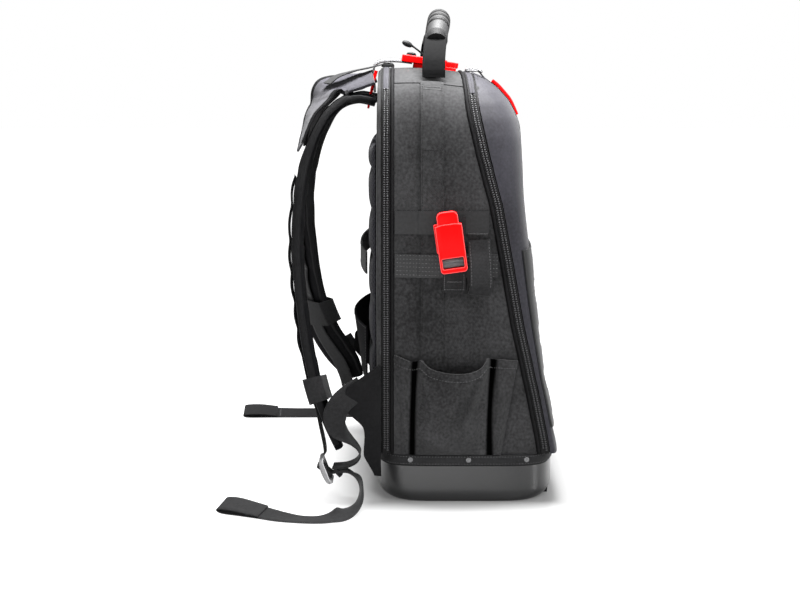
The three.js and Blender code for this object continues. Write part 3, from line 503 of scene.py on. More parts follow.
# A dish stands out from an edge line to the middle of its face.
def dish_point(dish, across, z, lift=0.0):
    row = lookup(dish["rows"], "z", z)
    edge = dish["edge"](z)
    bulge = (1 - min(1, abs(across)) ** dish["roundness"]) ** (1 / dish["roundness"])
    height = z + row["crown"] * (1 - across * across)
    point = Vector((row["half"] * across, edge + (row["face"] - edge) * bulge, height))
    return point + dish_normal(dish, across, z) * lift if lift else point


# The outward direction of a dish.
def dish_normal(dish, across, z):
    inside = clamp(across, -0.998, 0.998)
    sideways = dish_point(dish, inside + 1e-3, z) - dish_point(dish, inside - 1e-3, z)
    upwards = dish_point(dish, inside, z + 1) - dish_point(dish, inside, z - 1)
    return sideways.cross(upwards).normalized() * dish["outwards"]


front_dish = {
    "rows": dome_rows,
    "edge": lambda z: lookup(front_seam, "z", z)["y"] - zip_width - 2 * piping_radius + 0.4,
    "roundness": dome_roundness,
    "outwards": 1,
}
back_dish = {
    "rows": lid_rows,
    "edge": lambda z: rear_piping_y + zip_width + 2.9,
    "roundness": lid_roundness,
    "outwards": -1,
}


# Steps across a dish, closer together towards its steep sides.
def dish_steps(dish, count):
    result = []
    for t in steps(0, 1, count):
        c = math.cos(math.pi * t)
        result.append(-math.copysign(abs(c) ** (2 / dish["roundness"]), c))
    return result


# The place, width direction, thickness direction and travel direction at t along a table of rows.
def frame_at(rows, t):
    row = sample(rows, t)
    ahead, behind = sample(rows, t + 0.002), sample(rows, t - 0.002)
    travel = Vector([ahead[k] - behind[k] for k in "xyz"]).normalized()
    width = Vector((row["wx"], row["wy"], row["wz"]))
    width = (width - travel * width.dot(travel)).normalized()
    return row, Vector((row["x"], row["y"], row["z"])), width, width.cross(travel), travel


# Rounds a sine or cosine towards a square.
def squared(value, power):
    return math.copysign(abs(value) ** power, value)


# A scene object from points in millimetres; each face has its corners' flat places, also in millimetres.
def make(name, points, faces, flats, crease=42):
    mesh = bpy.data.meshes.new(name)
    mesh.from_pydata([p * millimetre for p in points], [], faces)
    layer = mesh.uv_layers.new(name="flat")
    layer.data.foreach_set("uv", [c for face in flats for corner in face for c in corner])
    work = bmesh.new()
    work.from_mesh(mesh)
    bmesh.ops.remove_doubles(work, verts=work.verts, dist=1e-6)
    finish_mesh(work, mesh, crease)
    return linked(name, mesh)


# Turns the faces outwards, smooths them and keeps edges sharper than the crease angle.
def finish_mesh(work, mesh, crease):
    bmesh.ops.recalc_face_normals(work, faces=work.faces)
    for face in work.faces:
        face.smooth = True
    for edge in work.edges:
        edge.smooth = len(edge.link_faces) == 2 and edge.calc_face_angle() < math.radians(crease)
    work.to_mesh(mesh)
    work.free()


# A scene object that holds the data.
def linked(name, data):
    obj = bpy.data.objects.new(name, data)
    bpy.context.scene.collection.objects.link(obj)
    return obj


# Distances along a row of points, from its start.
def lengths(points):
    result = [0.0]
    for a, b in zip(points, points[1:]):
        result.append(result[-1] + (b - a).length)
    return result


# A closed body lofted through rings of points; a looped one joins its last ring to its first.
def loft(name, rings, looped=False, crease=42):
    count = len(rings[0])
    points = [p for ring in rings for p in ring]
    around = lengths(rings[len(rings) // 2] + [rings[len(rings) // 2][0]])
    middles = [sum(ring, Vector()) / count for ring in rings]
    along = lengths([ring[0] for ring in rings] + [rings[0][0]] if looped else middles)
    faces, flats = [], []
    for i in range(len(rings) if looped else len(rings) - 1):
        n = (i + 1) % len(rings)
        for j in range(count):
            k = (j + 1) % count
            faces.append((i * count + j, i * count + k, n * count + k, n * count + j))
            low, high = along[i], along[i + 1]
            flats.append([(around[j], low), (around[j + 1], low), (around[j + 1], high), (around[j], high)])
    if not looped:
        for start, v in ((0, along[0]), (len(rings) - 1, along[-1])):
            faces.append(tuple(start * count + j for j in range(count)))
            flats.append([(around[j], v) for j in range(count)])
    return make(name, points, faces, flats, crease)


# A closed wall between two grids of points.
def shell(name, outer, inner, skip=None, crease=42):
    columns, rows = len(outer) - 1, len(outer[0]) - 1
    wide = lengths([column[rows // 2] for column in outer])
    tall = lengths(outer[columns // 2])
    points = [p for grid in (outer, inner) for column in grid for p in column]
    back = (columns + 1) * (rows + 1)
    filled = lambda i, j: 0 <= i < columns and 0 <= j < rows and not (skip and skip(i, j))
    faces, flats = [], []

    def add(*corners):
        faces.append([layer * back + i * (rows + 1) + j for layer, i, j in corners])
        flats.append([(wide[i], tall[j]) for layer, i, j in corners])

    for i in range(columns):
        for j in range(rows):
            if not filled(i, j):
                continue
            add((0, i, j), (0, i + 1, j), (0, i + 1, j + 1), (0, i, j + 1))
            add((1, i, j + 1), (1, i + 1, j + 1), (1, i + 1, j), (1, i, j))
            if not filled(i, j - 1):
                add((1, i, j), (1, i + 1, j), (0, i + 1, j), (0, i, j))
            if not filled(i, j + 1):
                add((0, i, j + 1), (0, i + 1, j + 1), (1, i + 1, j + 1), (1, i, j + 1))
            if not filled(i - 1, j):
                add((0, i, j), (0, i, j + 1), (1, i, j + 1), (1, i, j))
            if not filled(i + 1, j):
                add((1, i + 1, j), (1, i + 1, j + 1), (0, i + 1, j + 1), (0, i + 1, j))
    return make(name, points, faces, flats, crease)


# Outward directions of a grid of points, from their neighbours.
def grid_normals(grid):
    columns, rows = len(grid) - 1, len(grid[0]) - 1
    result = []
    for i in range(columns + 1):
        column = []
        for j in range(rows + 1):
            across = grid[min(i + 1, columns)][j] - grid[max(i - 1, 0)][j]
            upwards = grid[i][min(j + 1, rows)] - grid[i][max(j - 1, 0)]
            column.append(across.cross(upwards).normalized())
        result.append(column)
    return result


# A sheet of real thickness over a surface, with its outer face on the surface.
def sheet(name, surface, us, vs, wall, skip=None):
    outer = [[surface(u, v) for v in vs] for u in us]
    normals = grid_normals(outer)
    inner = [[p - n * wall for p, n in zip(*pair)] for pair in zip(outer, normals)]
    return shell(name, outer, inner, skip)


# The section of flat webbing with rounded edges, in shares of its half width and half thickness.
def flat_section():
    top = [(x, 1.0) for x in steps(-0.95, 0.95, 6)]
    return top + [(1, 0.4), (1, -0.4)] + [(-x, -1.0) for x, _ in top] + [(-1, -0.4), (-1, 0.4)]


# A flat strap along a table of rows, lifted off its middle line by a distance.
def strap(name, rows, width, thick, count, start=0.0, lift=None):
    rings = []
    for t in steps(start, 1, count):
        row, place, wide, out, _ = frame_at(rows, t)
        middle = place + out * (lift(row, t) if lift else 0)
        rings.append([middle + wide * (a * width / 2) + out * (b * thick / 2) for a, b in flat_section()])
    return loft(name, rings)


# A padded strap with rounded edges; relief is how far its skin stands in or out, from t and angle.
def pad(name, rows, count, sides=24, squareness=2 / 3.2, relief=None):
    rings = []
    for t in steps(0, 1, count):
        row, place, wide, out, _ = frame_at(rows, t)
        ring = []
        for k in range(sides):
            angle = (k + 0.5) / sides * 2 * math.pi
            more = relief(t, angle) if relief else 0
            a = (row["half"] + more) * squared(math.cos(angle), squareness)
            b = (row["thick"] / 2 + more) * squared(math.sin(angle), squareness)
            ring.append(place + wide * a + out * b)
        rings.append(ring)
    return loft(name, rings)


# A round bar through points, with a radius for each point.
def bar(name, points, radii, sides=12):
    rings = []
    for i, (point, radius) in enumerate(zip(points, radii)):
        travel = (points[min(i + 1, len(points) - 1)] - points[max(i - 1, 0)]).normalized()
        side = travel.orthogonal().normalized() if i == 0 else (side - travel * side.dot(travel)).normalized()
        up = travel.cross(side)
        turns = [k / sides * 2 * math.pi for k in range(sides)]
        rings.append([point + side * (radius * math.cos(a)) + up * (radius * math.sin(a)) for a in turns])
    return loft(name, rings)


# A body turned round its own z axis, from a profile of radius and height.
def turned(name, profile, sides=20):
    turns = [k / sides * 2 * math.pi for k in range(sides)]
    return loft(name, [[Vector((r * math.cos(a), r * math.sin(a), z)) for a in turns] for r, z in profile])


# A ring of the tray's rounded plan, shrunk sideways and lengthways, at a height.
def plan_ring(inset_x, inset_y, z, grow=0.0, count=168):
    ring = []
    for k in range(count):
        angle = k / count * 2 * math.pi
        x = (shell_half_width + grow - inset_x) * squared(math.cos(angle), 2 / shell_roundness)
        y = (shell_half_depth + grow - inset_y) * squared(math.sin(angle), 2 / shell_roundness)
        ring.append(Vector((x, y, z)))
    return ring


# A rounded outline from corners given as x, y and radius, counter-clockwise.
def rounded(corners):
    cells, points = 5, []
    for i, (x, y, r) in enumerate(corners):
        here = Vector((x, y))
        before = (Vector(corners[i - 1][:2]) - here).normalized()
        after = (Vector(corners[(i + 1) % len(corners)][:2]) - here).normalized()
        half = before.angle(after) / 2
        back = r / math.tan(half)
        centre = here + (before + after).normalized() * (r / math.sin(half))
        start, end = here + before * back - centre, here + after * back - centre
        for f in steps(0, 1, cells):
            points.append(centre + start.lerp(end, f).normalized() * r if r else here)
        if not r:
            del points[-cells:]
    return points


# A rounded rectangle between two corners.
def rounded_box(left, low, right, high, radius):
    return rounded([(x, y, radius) for x, y in ((left, low), (right, low), (right, high), (left, high))])


# An outline moved sideways, to its left where the distance is positive.
def offset(points, distance):
    result = []
    for i, point in enumerate(points):
        ahead = (points[(i + 1) % len(points)] - points[i - 1]).normalized()
        result.append(point + Vector((-ahead.y, ahead.x)) * distance)
    return result


# A moulded plate with rounded edges and holes; its upper bevels carry the attribute "rim", where its look paints
# a highlight.
def plate(name, outline_points, holes, low, high, bevel=0.8):
    work = bmesh.new()
    rim = work.faces.layers.float.new("rim")
    top, bottom = [], []
    for loop, inwards in [(outline_points, 1)] + [(hole, -1) for hole in holes]:
        profile = [(bevel, low), (0, low + bevel), (0, high - bevel),
                   (0.3 * bevel, high - 0.3 * bevel), (bevel, high)]
        rings = [[work.verts.new((*p, z)) for p in offset(loop, inwards * inset)] for inset, z in profile]
        for level, (a, b) in enumerate(zip(rings, rings[1:])):
            for j in range(len(loop)):
                k = (j + 1) % len(loop)
                face = work.faces.new((a[j], a[k], b[k], b[j]))
                # The upper bevel is marked for a painted highlight.
                face[rim] = float(level >= 2)
        bottom += [work.edges.get((rings[0][j - 1], rings[0][j])) for j in range(len(loop))]
        top += [work.edges.get((rings[-1][j - 1], rings[-1][j])) for j in range(len(loop))]
    for edges in (top, bottom):
        bmesh.ops.triangle_fill(work, edges=edges, use_beauty=True)
    for vert in work.verts:
        vert.co *= millimetre
    mesh = bpy.data.meshes.new(name)
    finish_mesh(work, mesh, 30)
    return linked(name, mesh)


# Moves a piece from its own axes to a place on the pack, in millimetres.
def placed(obj, across, up, out, place):
    turn = Matrix([across, up, out]).transposed().to_4x4()
    obj.data.transform(Matrix.Translation(Vector(place) * millimetre) @ turn)
    return obj


# Joins pieces into the first of them.
def joined(pieces):
    with bpy.context.temp_override(active_object=pieces[0], selected_editable_objects=pieces):
        bpy.ops.object.join()
    return pieces[0]


# The finish slot of each look that has no slot of its own name.
finish_slots = {
    "thread": "webbing", "dark_thread": "webbing", "dark_webbing": "webbing", "pale_webbing": "webbing",
    "yoke_cloth": "pad_cloth", "grey_plastic": "dark_plastic", "stud_metal": "dark_plastic",
    "tooth_plastic": "zip_tape", "pale_edge": "laminated_cloth",
}


# Gives a new piece its material, ties it to the root body and hides the CAD nodes that it stands for; its finish
# slot is worked out but not kept.
def dress(obj, look, *nodes, slot=None):
    obj.data.materials.clear()
    obj.data.materials.append(looks[look])
    slot or finish_slots.get(look, look)
    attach(obj, "root")
    if nodes:
        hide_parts(*nodes)
    return obj


# Marks a piece's points with a value from 0 to 1 by a rule of their place in millimetres.
def mark(obj, label, rule):
    layer = obj.data.attributes.new(label, "FLOAT", "POINT")
    layer.data.foreach_set("value", [rule(*(vert.co / millimetre)) for vert in obj.data.vertices])
    return obj


# A copy of a left piece turned over to the right side.
def mirrored(obj, name):
    mesh = obj.data.copy()
    mesh.transform(Matrix.Scale(-1, 4, (1, 0, 0)))
    mesh.flip_normals()
    return linked(name, mesh)


# Dresses a left piece and its mirrored twin.
def dress_pair(obj, look, node=None, slot=None):
    twin = mirrored(obj, obj.name.replace("left", "right"))
    for piece, side in ((obj, "_left"), (twin, "_right")):
        dress(piece, look, *([node + side] if node else []), slot=slot)
    return obj, twin


# A node of a tree with its settings; each input is a value or another node's output.
def node(tree, kind, settings=None, **inputs):
    made = tree.nodes.new(kind)
    for key, value in (settings or {}).items():
        setattr(made, key, value)
    for key, value in inputs.items():
        socket = made.inputs[int(key[1:]) if key[1:].isdigit() else key.replace("_", " ")]
        if isinstance(value, bpy.types.NodeSocket):
            tree.links.new(value, socket)
        else:
            socket.default_value = value
    return made


# A math node's result.
def calc(tree, operation, *values):
    inputs = {f"i{i}": value for i, value in enumerate(values)}
    return node(tree, "ShaderNodeMath", {"operation": operation}, **inputs).outputs[0]


# An empty node group with named sockets; an input without a default is a vector.
def new_group(name, inputs, outputs):
    tree = bpy.data.node_groups.new(name, "ShaderNodeTree")
    for label, default in inputs.items():
        kind = "NodeSocketVector" if default is None else "NodeSocketFloat"
        socket = tree.interface.new_socket(label, in_out="INPUT", socket_type=kind)
        if default is not None:
            socket.default_value = default
    for label in outputs:
        tree.interface.new_socket(label, in_out="OUTPUT", socket_type="NodeSocketFloat")
    return tree, tree.nodes.new("NodeGroupInput").outputs, tree.nodes.new("NodeGroupOutput").inputs


# Plain weave: threads of a pitch that pass over and under each other.
def weave_height(tree, place, turns):
    waves = [calc(tree, "SINE", calc(tree, "MULTIPLY", turn, math.pi)) for turn in turns]
    return calc(tree, "MULTIPLY_ADD", calc(tree, "MULTIPLY", *waves), 0.5, 0.5)


# Webbing: ribs across the band that zigzag a little from column to column.
def webbing_height(tree, place, turns):
    column = calc(tree, "SINE", calc(tree, "MULTIPLY", place["X"], 2.0))
    along = calc(tree, "MULTIPLY", turns[1], 2 * math.pi)
    shifted = calc(tree, "ADD", along, calc(tree, "MULTIPLY", column, 1.2))
    return calc(tree, "MULTIPLY_ADD", calc(tree, "SINE", shifted), 0.5, 0.5)


# Air mesh: round holes of a pitch in staggered rows.
def mesh_height(tree, place, turns):
    shares = (1, 0.6)
    waves = [calc(tree, "COSINE", calc(tree, "MULTIPLY", t, 2 * math.pi * share))
             for t, share in zip(turns, shares)]
    product = calc(tree, "MULTIPLY", *waves)
    return node(tree, "ShaderNodeMapRange", i0=product, i1=-0.1, i2=0.55, i3=1.0, i4=0.0).outputs[0]


# A pattern's group: its rule finds a height from the flat place and the number of pitches each way.
def pattern_group(name, rule):
    tree, given, result = new_group(name, {"Place": None, "Pitch": 1.0}, ["Height"])
    place = node(tree, "ShaderNodeSeparateXYZ", i0=given["Place"]).outputs
    turns = [calc(tree, "DIVIDE", place[axis], given["Pitch"]) for axis in "XY"]
    tree.links.new(rule(tree, place, turns), result["Height"])
    return tree


# Uneven tone: broad patches, grains and fine specks, around 0.5.
def mottle_group():
    sizes = {"Broad": 14.0, "Middle": 330.0, "Fine": 900.0}
    tree, given, result = new_group("mottle", {"Place": None, **sizes}, sizes)
    for label in sizes:
        texture = node(tree, "ShaderNodeTexNoise", Vector=given["Place"], Scale=given[label], Detail=3.0)
        tree.links.new(texture.outputs[0], result[label])
    return tree


patterns = {"weave": weave_height, "webbing": webbing_height, "air_mesh": mesh_height}
groups = {name: pattern_group(name, rule) for name, rule in patterns.items()}
groups["mottle"] = mottle_group()


# A new material with its shader and its mottled tone.
def new_look(name):
    look = bpy.data.materials.new(name)
    look.use_nodes = True
    tree = look.node_tree
    place = node(tree, "ShaderNodeTexCoord").outputs["Object"]
    mottle = node(tree, "ShaderNodeGroup", {"node_tree": groups["mottle"]}, Place=place)
    return look, tree, tree.nodes["Principled BSDF"], mottle


# A colour made lighter or darker by a value around 0.5.
def shaded(tree, color, value, amount):
    dark = (*[c * (1 - amount) for c in color], 1)
    light = (*[min(1, c * (1 + amount)) for c in color], 1)
    mix = node(tree, "ShaderNodeMix", {"data_type": "RGBA"}, i0=value)
    mix.inputs[6].default_value = dark
    mix.inputs[7].default_value = light
    return mix.outputs[2]


# A cloth: its pattern gives a fine relief and tone, and soft creases lie under it; painted pleat shade darkens it
# where a piece marks its pleats.
def cloth_look(name, color, pattern, pitch, depth, roughness, sheen, tone, uneven, gloss):
    look, tree, shader, mottle = new_look(name)
    flat = node(tree, "ShaderNodeUVMap", {"uv_map": "flat"}).outputs["UV"]
    threads = node(tree, "ShaderNodeGroup", {"node_tree": groups[pattern]}, Place=flat, Pitch=pitch)
    both = calc(tree, "ADD", mottle.outputs["Broad"], mottle.outputs["Middle"])
    grain = calc(tree, "MULTIPLY_ADD", both, 1.5, -1.0)
    value = calc(tree, "MULTIPLY_ADD", calc(tree, "SUBTRACT", threads.outputs[0], 0.5), tone, grain)
    # Where a piece marks a pleat, shade is painted in: the colour goes nearly black and sheen and gloss fade.
    hollow = node(tree, "ShaderNodeAttribute", {"attribute_name": "hollow"}).outputs["Fac"]
    painted_shade_color = node(tree, "ShaderNodeMix", {"data_type": "RGBA"},
                            i0=hollow, i6=shaded(tree, color, value, uneven))
    painted_shade_color.inputs[7].default_value = (0.0005, 0.0005, 0.0005, 1)
    tree.links.new(painted_shade_color.outputs[2], shader.inputs["Base Color"])
    tree.links.new(calc(tree, "MULTIPLY_ADD", hollow, -sheen, sheen), shader.inputs["Sheen Weight"])
    tree.links.new(calc(tree, "MULTIPLY_ADD", hollow, -gloss, gloss), shader.inputs["Specular IOR Level"])
    broad = node(tree, "ShaderNodeBump", Strength=0.5, Distance=0.002, Height=mottle.outputs["Broad"])
    fine = node(tree, "ShaderNodeBump", Strength=0.8, Distance=depth * millimetre, Height=threads.outputs[0],
                Normal=broad.outputs[0])
    tree.links.new(fine.outputs[0], shader.inputs["Normal"])
    shader.inputs["Roughness"].default_value = roughness
    shader.inputs["Sheen Roughness"].default_value = 0.5
    return look


# A moulded material with a fine grain; faces marked "rim" take the rim colour, a painted highlight on bevels and
# painted shade in the grip's grooves.
def moulded_look(name, color, rim, roughness, grain, metallic, uneven, gloss):
    look, tree, shader, mottle = new_look(name)
    base = shaded(tree, color, mottle.outputs["Broad"], uneven)
    # Where a look's rim colour differs from its colour, it is painted light: lighter on plates' bevels as a
    # highlight, near black in the grip's grooves as shade.
    edge = node(tree, "ShaderNodeAttribute", {"attribute_name": "rim"}).outputs["Fac"]
    mix = node(tree, "ShaderNodeMix", {"data_type": "RGBA"}, i0=edge, i6=base)
    mix.inputs[7].default_value = (*rim, 1)
    tree.links.new(mix.outputs[2], shader.inputs["Base Color"])
    uneven_gloss = node(tree, "ShaderNodeMapRange",
                        i0=mottle.outputs["Fine"], i3=roughness - 0.06, i4=roughness + 0.06)
    tree.links.new(uneven_gloss.outputs[0], shader.inputs["Roughness"])
    bump = node(tree, "ShaderNodeBump",
                Strength=0.6, Distance=grain * millimetre, Height=mottle.outputs["Fine"])
    tree.links.new(bump.outputs[0], shader.inputs["Normal"])
    shader.inputs["Metallic"].default_value = metallic
    shader.inputs["Specular IOR Level"].default_value = gloss
    return look


cloths = table("name color pattern pitch depth roughness sheen tone uneven gloss", [
    ("black_cloth", (0.0135, 0.0135, 0.014), "weave", 0.9, 0.12, 0.85, 0.03, 0.35, 0.75, 0.12),
    ("laminated_cloth", (0.0065, 0.0065, 0.007), "weave", 0.6, 0.04, 0.5, 0.03, 0.15, 0.5, 0.2),
    ("moulded_cloth", (0.0135, 0.0131, 0.0166), "weave", 0.7, 0.04, 0.7, 0.05, 0.2, 0.4, 0.12),
    ("mesh_cloth", (0.012, 0.012, 0.0145), "air_mesh", 3.0, 0.7, 0.9, 0.04, 0.8, 0.6, 0.12),
    ("pad_cloth", (0.0022, 0.0022, 0.0026), "weave", 1.1, 0.12, 0.85, 0.0, 0.35, 0.7, 0.03),
    # A lighter copy of the pads' cloth for the yoke: painted light from above.
    ("yoke_cloth", (0.018, 0.0172, 0.0215), "weave", 1.1, 0.12, 0.85, 0.06, 0.35, 0.6, 0.12),
    ("tape", (0.0035, 0.0035, 0.0038), "webbing", 1.1, 0.12, 0.75, 0.0, 0.35, 0.4, 0.06),
    ("zip_tape", (0.0025, 0.0025, 0.0027), "webbing", 0.9, 0.08, 0.65, 0.02, 0.35, 0.4, 0.1),
    ("webbing", (0.006, 0.006, 0.0064), "webbing", 1.5, 0.1, 0.75, 0.04, 0.4, 0.6, 0.12),
    # A darker copy of the webbing for the handle's legs: painted shade.
    ("dark_webbing", (0.0012, 0.0012, 0.0013), "webbing", 1.5, 0.1, 0.8, 0.005, 0.5, 0.5, 0.03),
    ("pale_webbing", (0.07, 0.07, 0.072), "webbing", 1.5, 0.2, 0.7, 0.05, 0.5, 0.3, 0.12),
    ("thread", (0.045, 0.045, 0.046), "webbing", 0.5, 0.05, 0.7, 0.03, 0.35, 0.4, 0.12),
    ("dark_thread", (0.004, 0.004, 0.0041), "webbing", 0.5, 0.05, 0.7, 0.01, 0.35, 0.4, 0.12),
    # Pale cloth for the slits' cut edges: a painted highlight.
    ("pale_edge", (0.2, 0.2, 0.203), "weave", 0.5, 0.05, 0.6, 0.03, 0.35, 0.4, 0.12),
])
# Each moulding's name, colour, rim colour (a painted highlight on bevels, or painted shade in the grip's
# grooves), roughness, grain, metalness, unevenness and gloss.
mouldings = table("name color rim roughness grain metallic uneven gloss", [
    ("moulded_shell", (0.0095, 0.0095, 0.0098), (0.0095, 0.0095, 0.0098), 0.3, 0.02, 0, 0.12, 0.38),
    ("dark_rubber", (0.004, 0.004, 0.0042), (0.004, 0.004, 0.0042), 0.6, 0.03, 0, 0.12, 0.15),
    ("grip_rubber", (0.017, 0.017, 0.0173), (0.001, 0.001, 0.001), 0.55, 0.03, 0, 0.12, 0.15),
    ("red_plastic", (0.55, 0.0012, 0.0015), (0.6, 0.05, 0.05), 0.4, 0.01, 0, 0.05, 0.04),
    ("dark_plastic", (0.004, 0.004, 0.0043), (0.012, 0.012, 0.0125), 0.4, 0.03, 0, 0.12, 0.2),
    ("grey_plastic", (0.14, 0.14, 0.143), (0.3, 0.3, 0.305), 0.45, 0.03, 0, 0.12, 0.3),
    ("tooth_plastic", (0.03, 0.03, 0.031), (0.03, 0.03, 0.031), 0.4, 0.03, 0, 0.12, 0.15),
    ("slider_metal", (0.22, 0.22, 0.225), (0.45, 0.45, 0.46), 0.35, 0.03, 0.9, 0.12, 0.3),
    ("stud_metal", (0.08, 0.08, 0.082), (0.08, 0.08, 0.082), 0.4, 0.03, 0.3, 0.12, 0.3),
])
looks = {row["name"]: cloth_look(**row) for row in cloths}
looks.update({row["name"]: moulded_look(**row) for row in mouldings})


# A small rounded shape of three half sizes, kept out of the scene and set where it is repeated.
def small_shape(name, half_x, half_y, half_z, sides=8, rings=5):
    mesh = bpy.data.meshes.new(name)
    work = bmesh.new()
    bmesh.ops.create_uvsphere(work, u_segments=sides, v_segments=rings, radius=1)
    for vert in work.verts:
        x, y, z = (squared(c, 0.75) for c in vert.co)
        vert.co = Vector((x * half_x, y * half_y, z * half_z)) * millimetre
    layer = work.loops.layers.uv.new("flat")
    for face in work.faces:
        for corner in face.loops:
            corner[layer].uv = corner.vert.co.xy / millimetre
    finish_mesh(work, mesh, 180)
    return linked(name, mesh)


stitch_shape = small_shape("stitch_shape", 1.05, 0.34, 0.3, 6, 4)
tack_shape = small_shape("tack_shape", 1.5, 0.3, 0.35, 6, 4)
tooth_shape = small_shape("tooth_shape", 0.85, 1.25, 0.8)
rivet_shape = turned("rivet_shape", [(2.9, -0.6), (2.9, 0.4), (2.5, 0.8), (1.8, 0.95), (1.3, 0.6), (0.1, 0.5)])


# A tree that sets a small shape on every point, turned along the point's two directions.
def repeat_tree():
    tree = bpy.data.node_groups.new("repeat", "GeometryNodeTree")
    tree.is_modifier = True
    sockets = {"Points": "NodeSocketGeometry", "Shape": "NodeSocketObject", "Look": "NodeSocketMaterial"}
    for label, kind in sockets.items():
        tree.interface.new_socket(label, in_out="INPUT", socket_type=kind)
    tree.interface.new_socket("Result", in_out="OUTPUT", socket_type="NodeSocketGeometry")
    given = tree.nodes.new("NodeGroupInput").outputs
    points = node(tree, "GeometryNodeMeshToPoints", i0=given["Points"])
    directions = []
    for label in ("along", "out"):
        named = node(tree, "GeometryNodeInputNamedAttribute", {"data_type": "FLOAT_VECTOR"}, Name=label)
        directions.append(named.outputs["Attribute"])
    turn = node(tree, "FunctionNodeAxesToRotation", {"primary_axis": "Z", "secondary_axis": "X"},
                i0=directions[1], i1=directions[0])
    shape = node(tree, "GeometryNodeObjectInfo", Object=given["Shape"], As_Instance=True)
    spread = node(tree, "GeometryNodeInstanceOnPoints", Points=points.outputs[0],
                  Instance=shape.outputs["Geometry"], Rotation=turn.outputs[0])
    solid = node(tree, "GeometryNodeRealizeInstances", i0=spread.outputs[0])
    painted = node(tree, "GeometryNodeSetMaterial", Geometry=solid.outputs[0], Material=given["Look"])
    tree.links.new(painted.outputs[0], tree.nodes.new("NodeGroupOutput").inputs["Result"])
    return tree


repeated = repeat_tree()


# Sets a shape on every spot, which is a place, a direction along and a direction out, as one dressed piece.
def repeat(name, spots, pair=False, shape=stitch_shape, look="thread"):
    mesh = bpy.data.meshes.new(name + "_spots")
    mesh.from_pydata([place * millimetre for place, _, _ in spots], [], [])
    for index, label in ((1, "along"), (2, "out")):
        layer = mesh.attributes.new(label, "FLOAT_VECTOR", "POINT")
        layer.data.foreach_set("vector", [c for spot in spots for c in spot[index]])
    carrier = linked(name, mesh)
    modifier = carrier.modifiers.new("repeat", "NODES")
    modifier.node_group = repeated
    sockets = {item.name: item.identifier for item in repeated.interface.items_tree}
    modifier[sockets["Shape"]] = shape
    modifier[sockets["Look"]] = looks[look]
    graph = bpy.context.evaluated_depsgraph_get()
    result = bpy.data.meshes.new_from_object(carrier.evaluated_get(graph))
    carrier.modifiers.clear()
    carrier.data = result
    (dress_pair if pair else dress)(carrier, look)


# Spots at an even pitch along a line of places and outward directions.
def spaced(line, pitch):
    result, left = [], pitch / 2
    for (a, out_a), (b, out_b) in zip(line, line[1:]):
        step = (b - a).length
        while left <= step:
            result.append((a.lerp(b, left / step), (b - a).normalized(), out_a.lerp(out_b, left / step)))
            left += pitch
        left -= step
    return result


# Rings around the tray's round lower edge, as far inside it as its wall is thick.
def edge_rings(ts, wall):
    rings = []
    for t in ts:
        out, up = 1 - math.sin(t * math.pi / 2), 1 - math.cos(t * math.pi / 2)
        wide, deep, high = shell_edge_width - wall, shell_edge_depth - wall, shell_edge_height - wall
        rings.append(plan_ring(wall + wide * out, wall + deep * out, wall + high * up))
    return rings


# The moulded tray: a flat bottom, a round lower edge and an open top.
def base_shell():
    walls = [plan_ring(0, 0, z) for z in (22, 30, 37, 41.4)]
    rim = [plan_ring(inset, inset, shell_height) for inset in (0.6, shell_wall)]
    rings = edge_rings(steps(0, 1, 12), 0) + walls + rim + edge_rings(steps(1, 0, 6), shell_wall)
    dress(loft("base_shell_body", rings), "moulded_shell", "base_shell")


# Places and outward directions around the binding at a height.
def binding_line(z, lift):
    ring = plan_ring(0, 0, z, binding_grow + lift)
    line = []
    for point in ring + ring[:1]:
        x, y = point.x / shell_half_width, point.y / shell_half_depth
        power = shell_roundness - 1
        out = Vector((squared(x, power) / shell_half_width, squared(y, power) / shell_half_depth, 0))
        line.append((point, out.normalized()))
    return line


# The folded cloth edge between the tray and the bag, with its two seams and its press studs.
def base_binding():
    low, high = shell_height + gap, body_bottom - gap
    folds = [(4, 0), (1.4, 0), (0.5, 0.7), (0.15, 2), (0, 4)]
    profile = [(inset, low + z) for inset, z in folds] + [(inset, high - z) for inset, z in reversed(folds)]
    rings = [plan_ring(inset, inset, z, binding_grow) for inset, z in profile]
    dress(loft("base_binding_tape", rings, True), "webbing", "base_binding", slot="tape")
    spots = [spot for height in (low + 1.8, high - 1.8) for spot in spaced(binding_line(height, 0), stitch_pitch)]
    repeat("base_binding_stitches", spots)
    studs = []
    for y in rivet_places:
        reach = (1 - abs(y / (shell_half_depth + binding_grow)) ** shell_roundness) ** (1 / shell_roundness)
        x = (shell_half_width + binding_grow) * reach
        studs.append((Vector((-x, y, rivet_height)), Vector((0, 1, 0)), Vector((-1, 0, 0))))
    repeat("press_studs_left", studs, True, shape=rivet_shape, look="stud_metal")


# A stretch of the side and top cloth between two places along the outline.
def gusset(name, start, end, count):
    rear = rear_piping_y - piping_radius - gap

    def surface(v, s):
        y = rear + (seam_y(s) + piping_radius + 2 * gap - rear) * v
        return body_point(s, y, swell_at(s, y))

    return sheet(name, surface, steps(0, 1, 30), steps(start, end, count), cloth_wall)


# The cloth around the pack, between its front and its back.
def gussets():
    place, split = side_at(458), 0.0012
    dress_pair(gusset("side_cloth_left", 0, place - split, 90), "black_cloth", "side_panel")
    dress(gusset("top_cloth", place + split, 1 - place - split, 60), "black_cloth", "top_panel")


# A cord or tape that runs up one side, over the top and down the other.
def body_trim(name, y_at, section, count=200, start=0.0005, end=0.9995):
    rings = [[body_point(s, y_at(s) + y, lift) for y, lift in section] for s in steps(start, end, count)]
    return loft(name, rings)


# Spots for a zip's two columns of teeth, up to where a fold of tape hides them.
def tooth_spots(y_at, start, end):
    spots = []
    for column, side in enumerate((-1, 1)):
        line = []
        for s in steps(start, end, 160):
            line.append((body_point(s, y_at(s) + side * tooth_column, 0.5), outline_normal(s)))
        spots += spaced(line, tooth_pitch)[column:]
    return spots


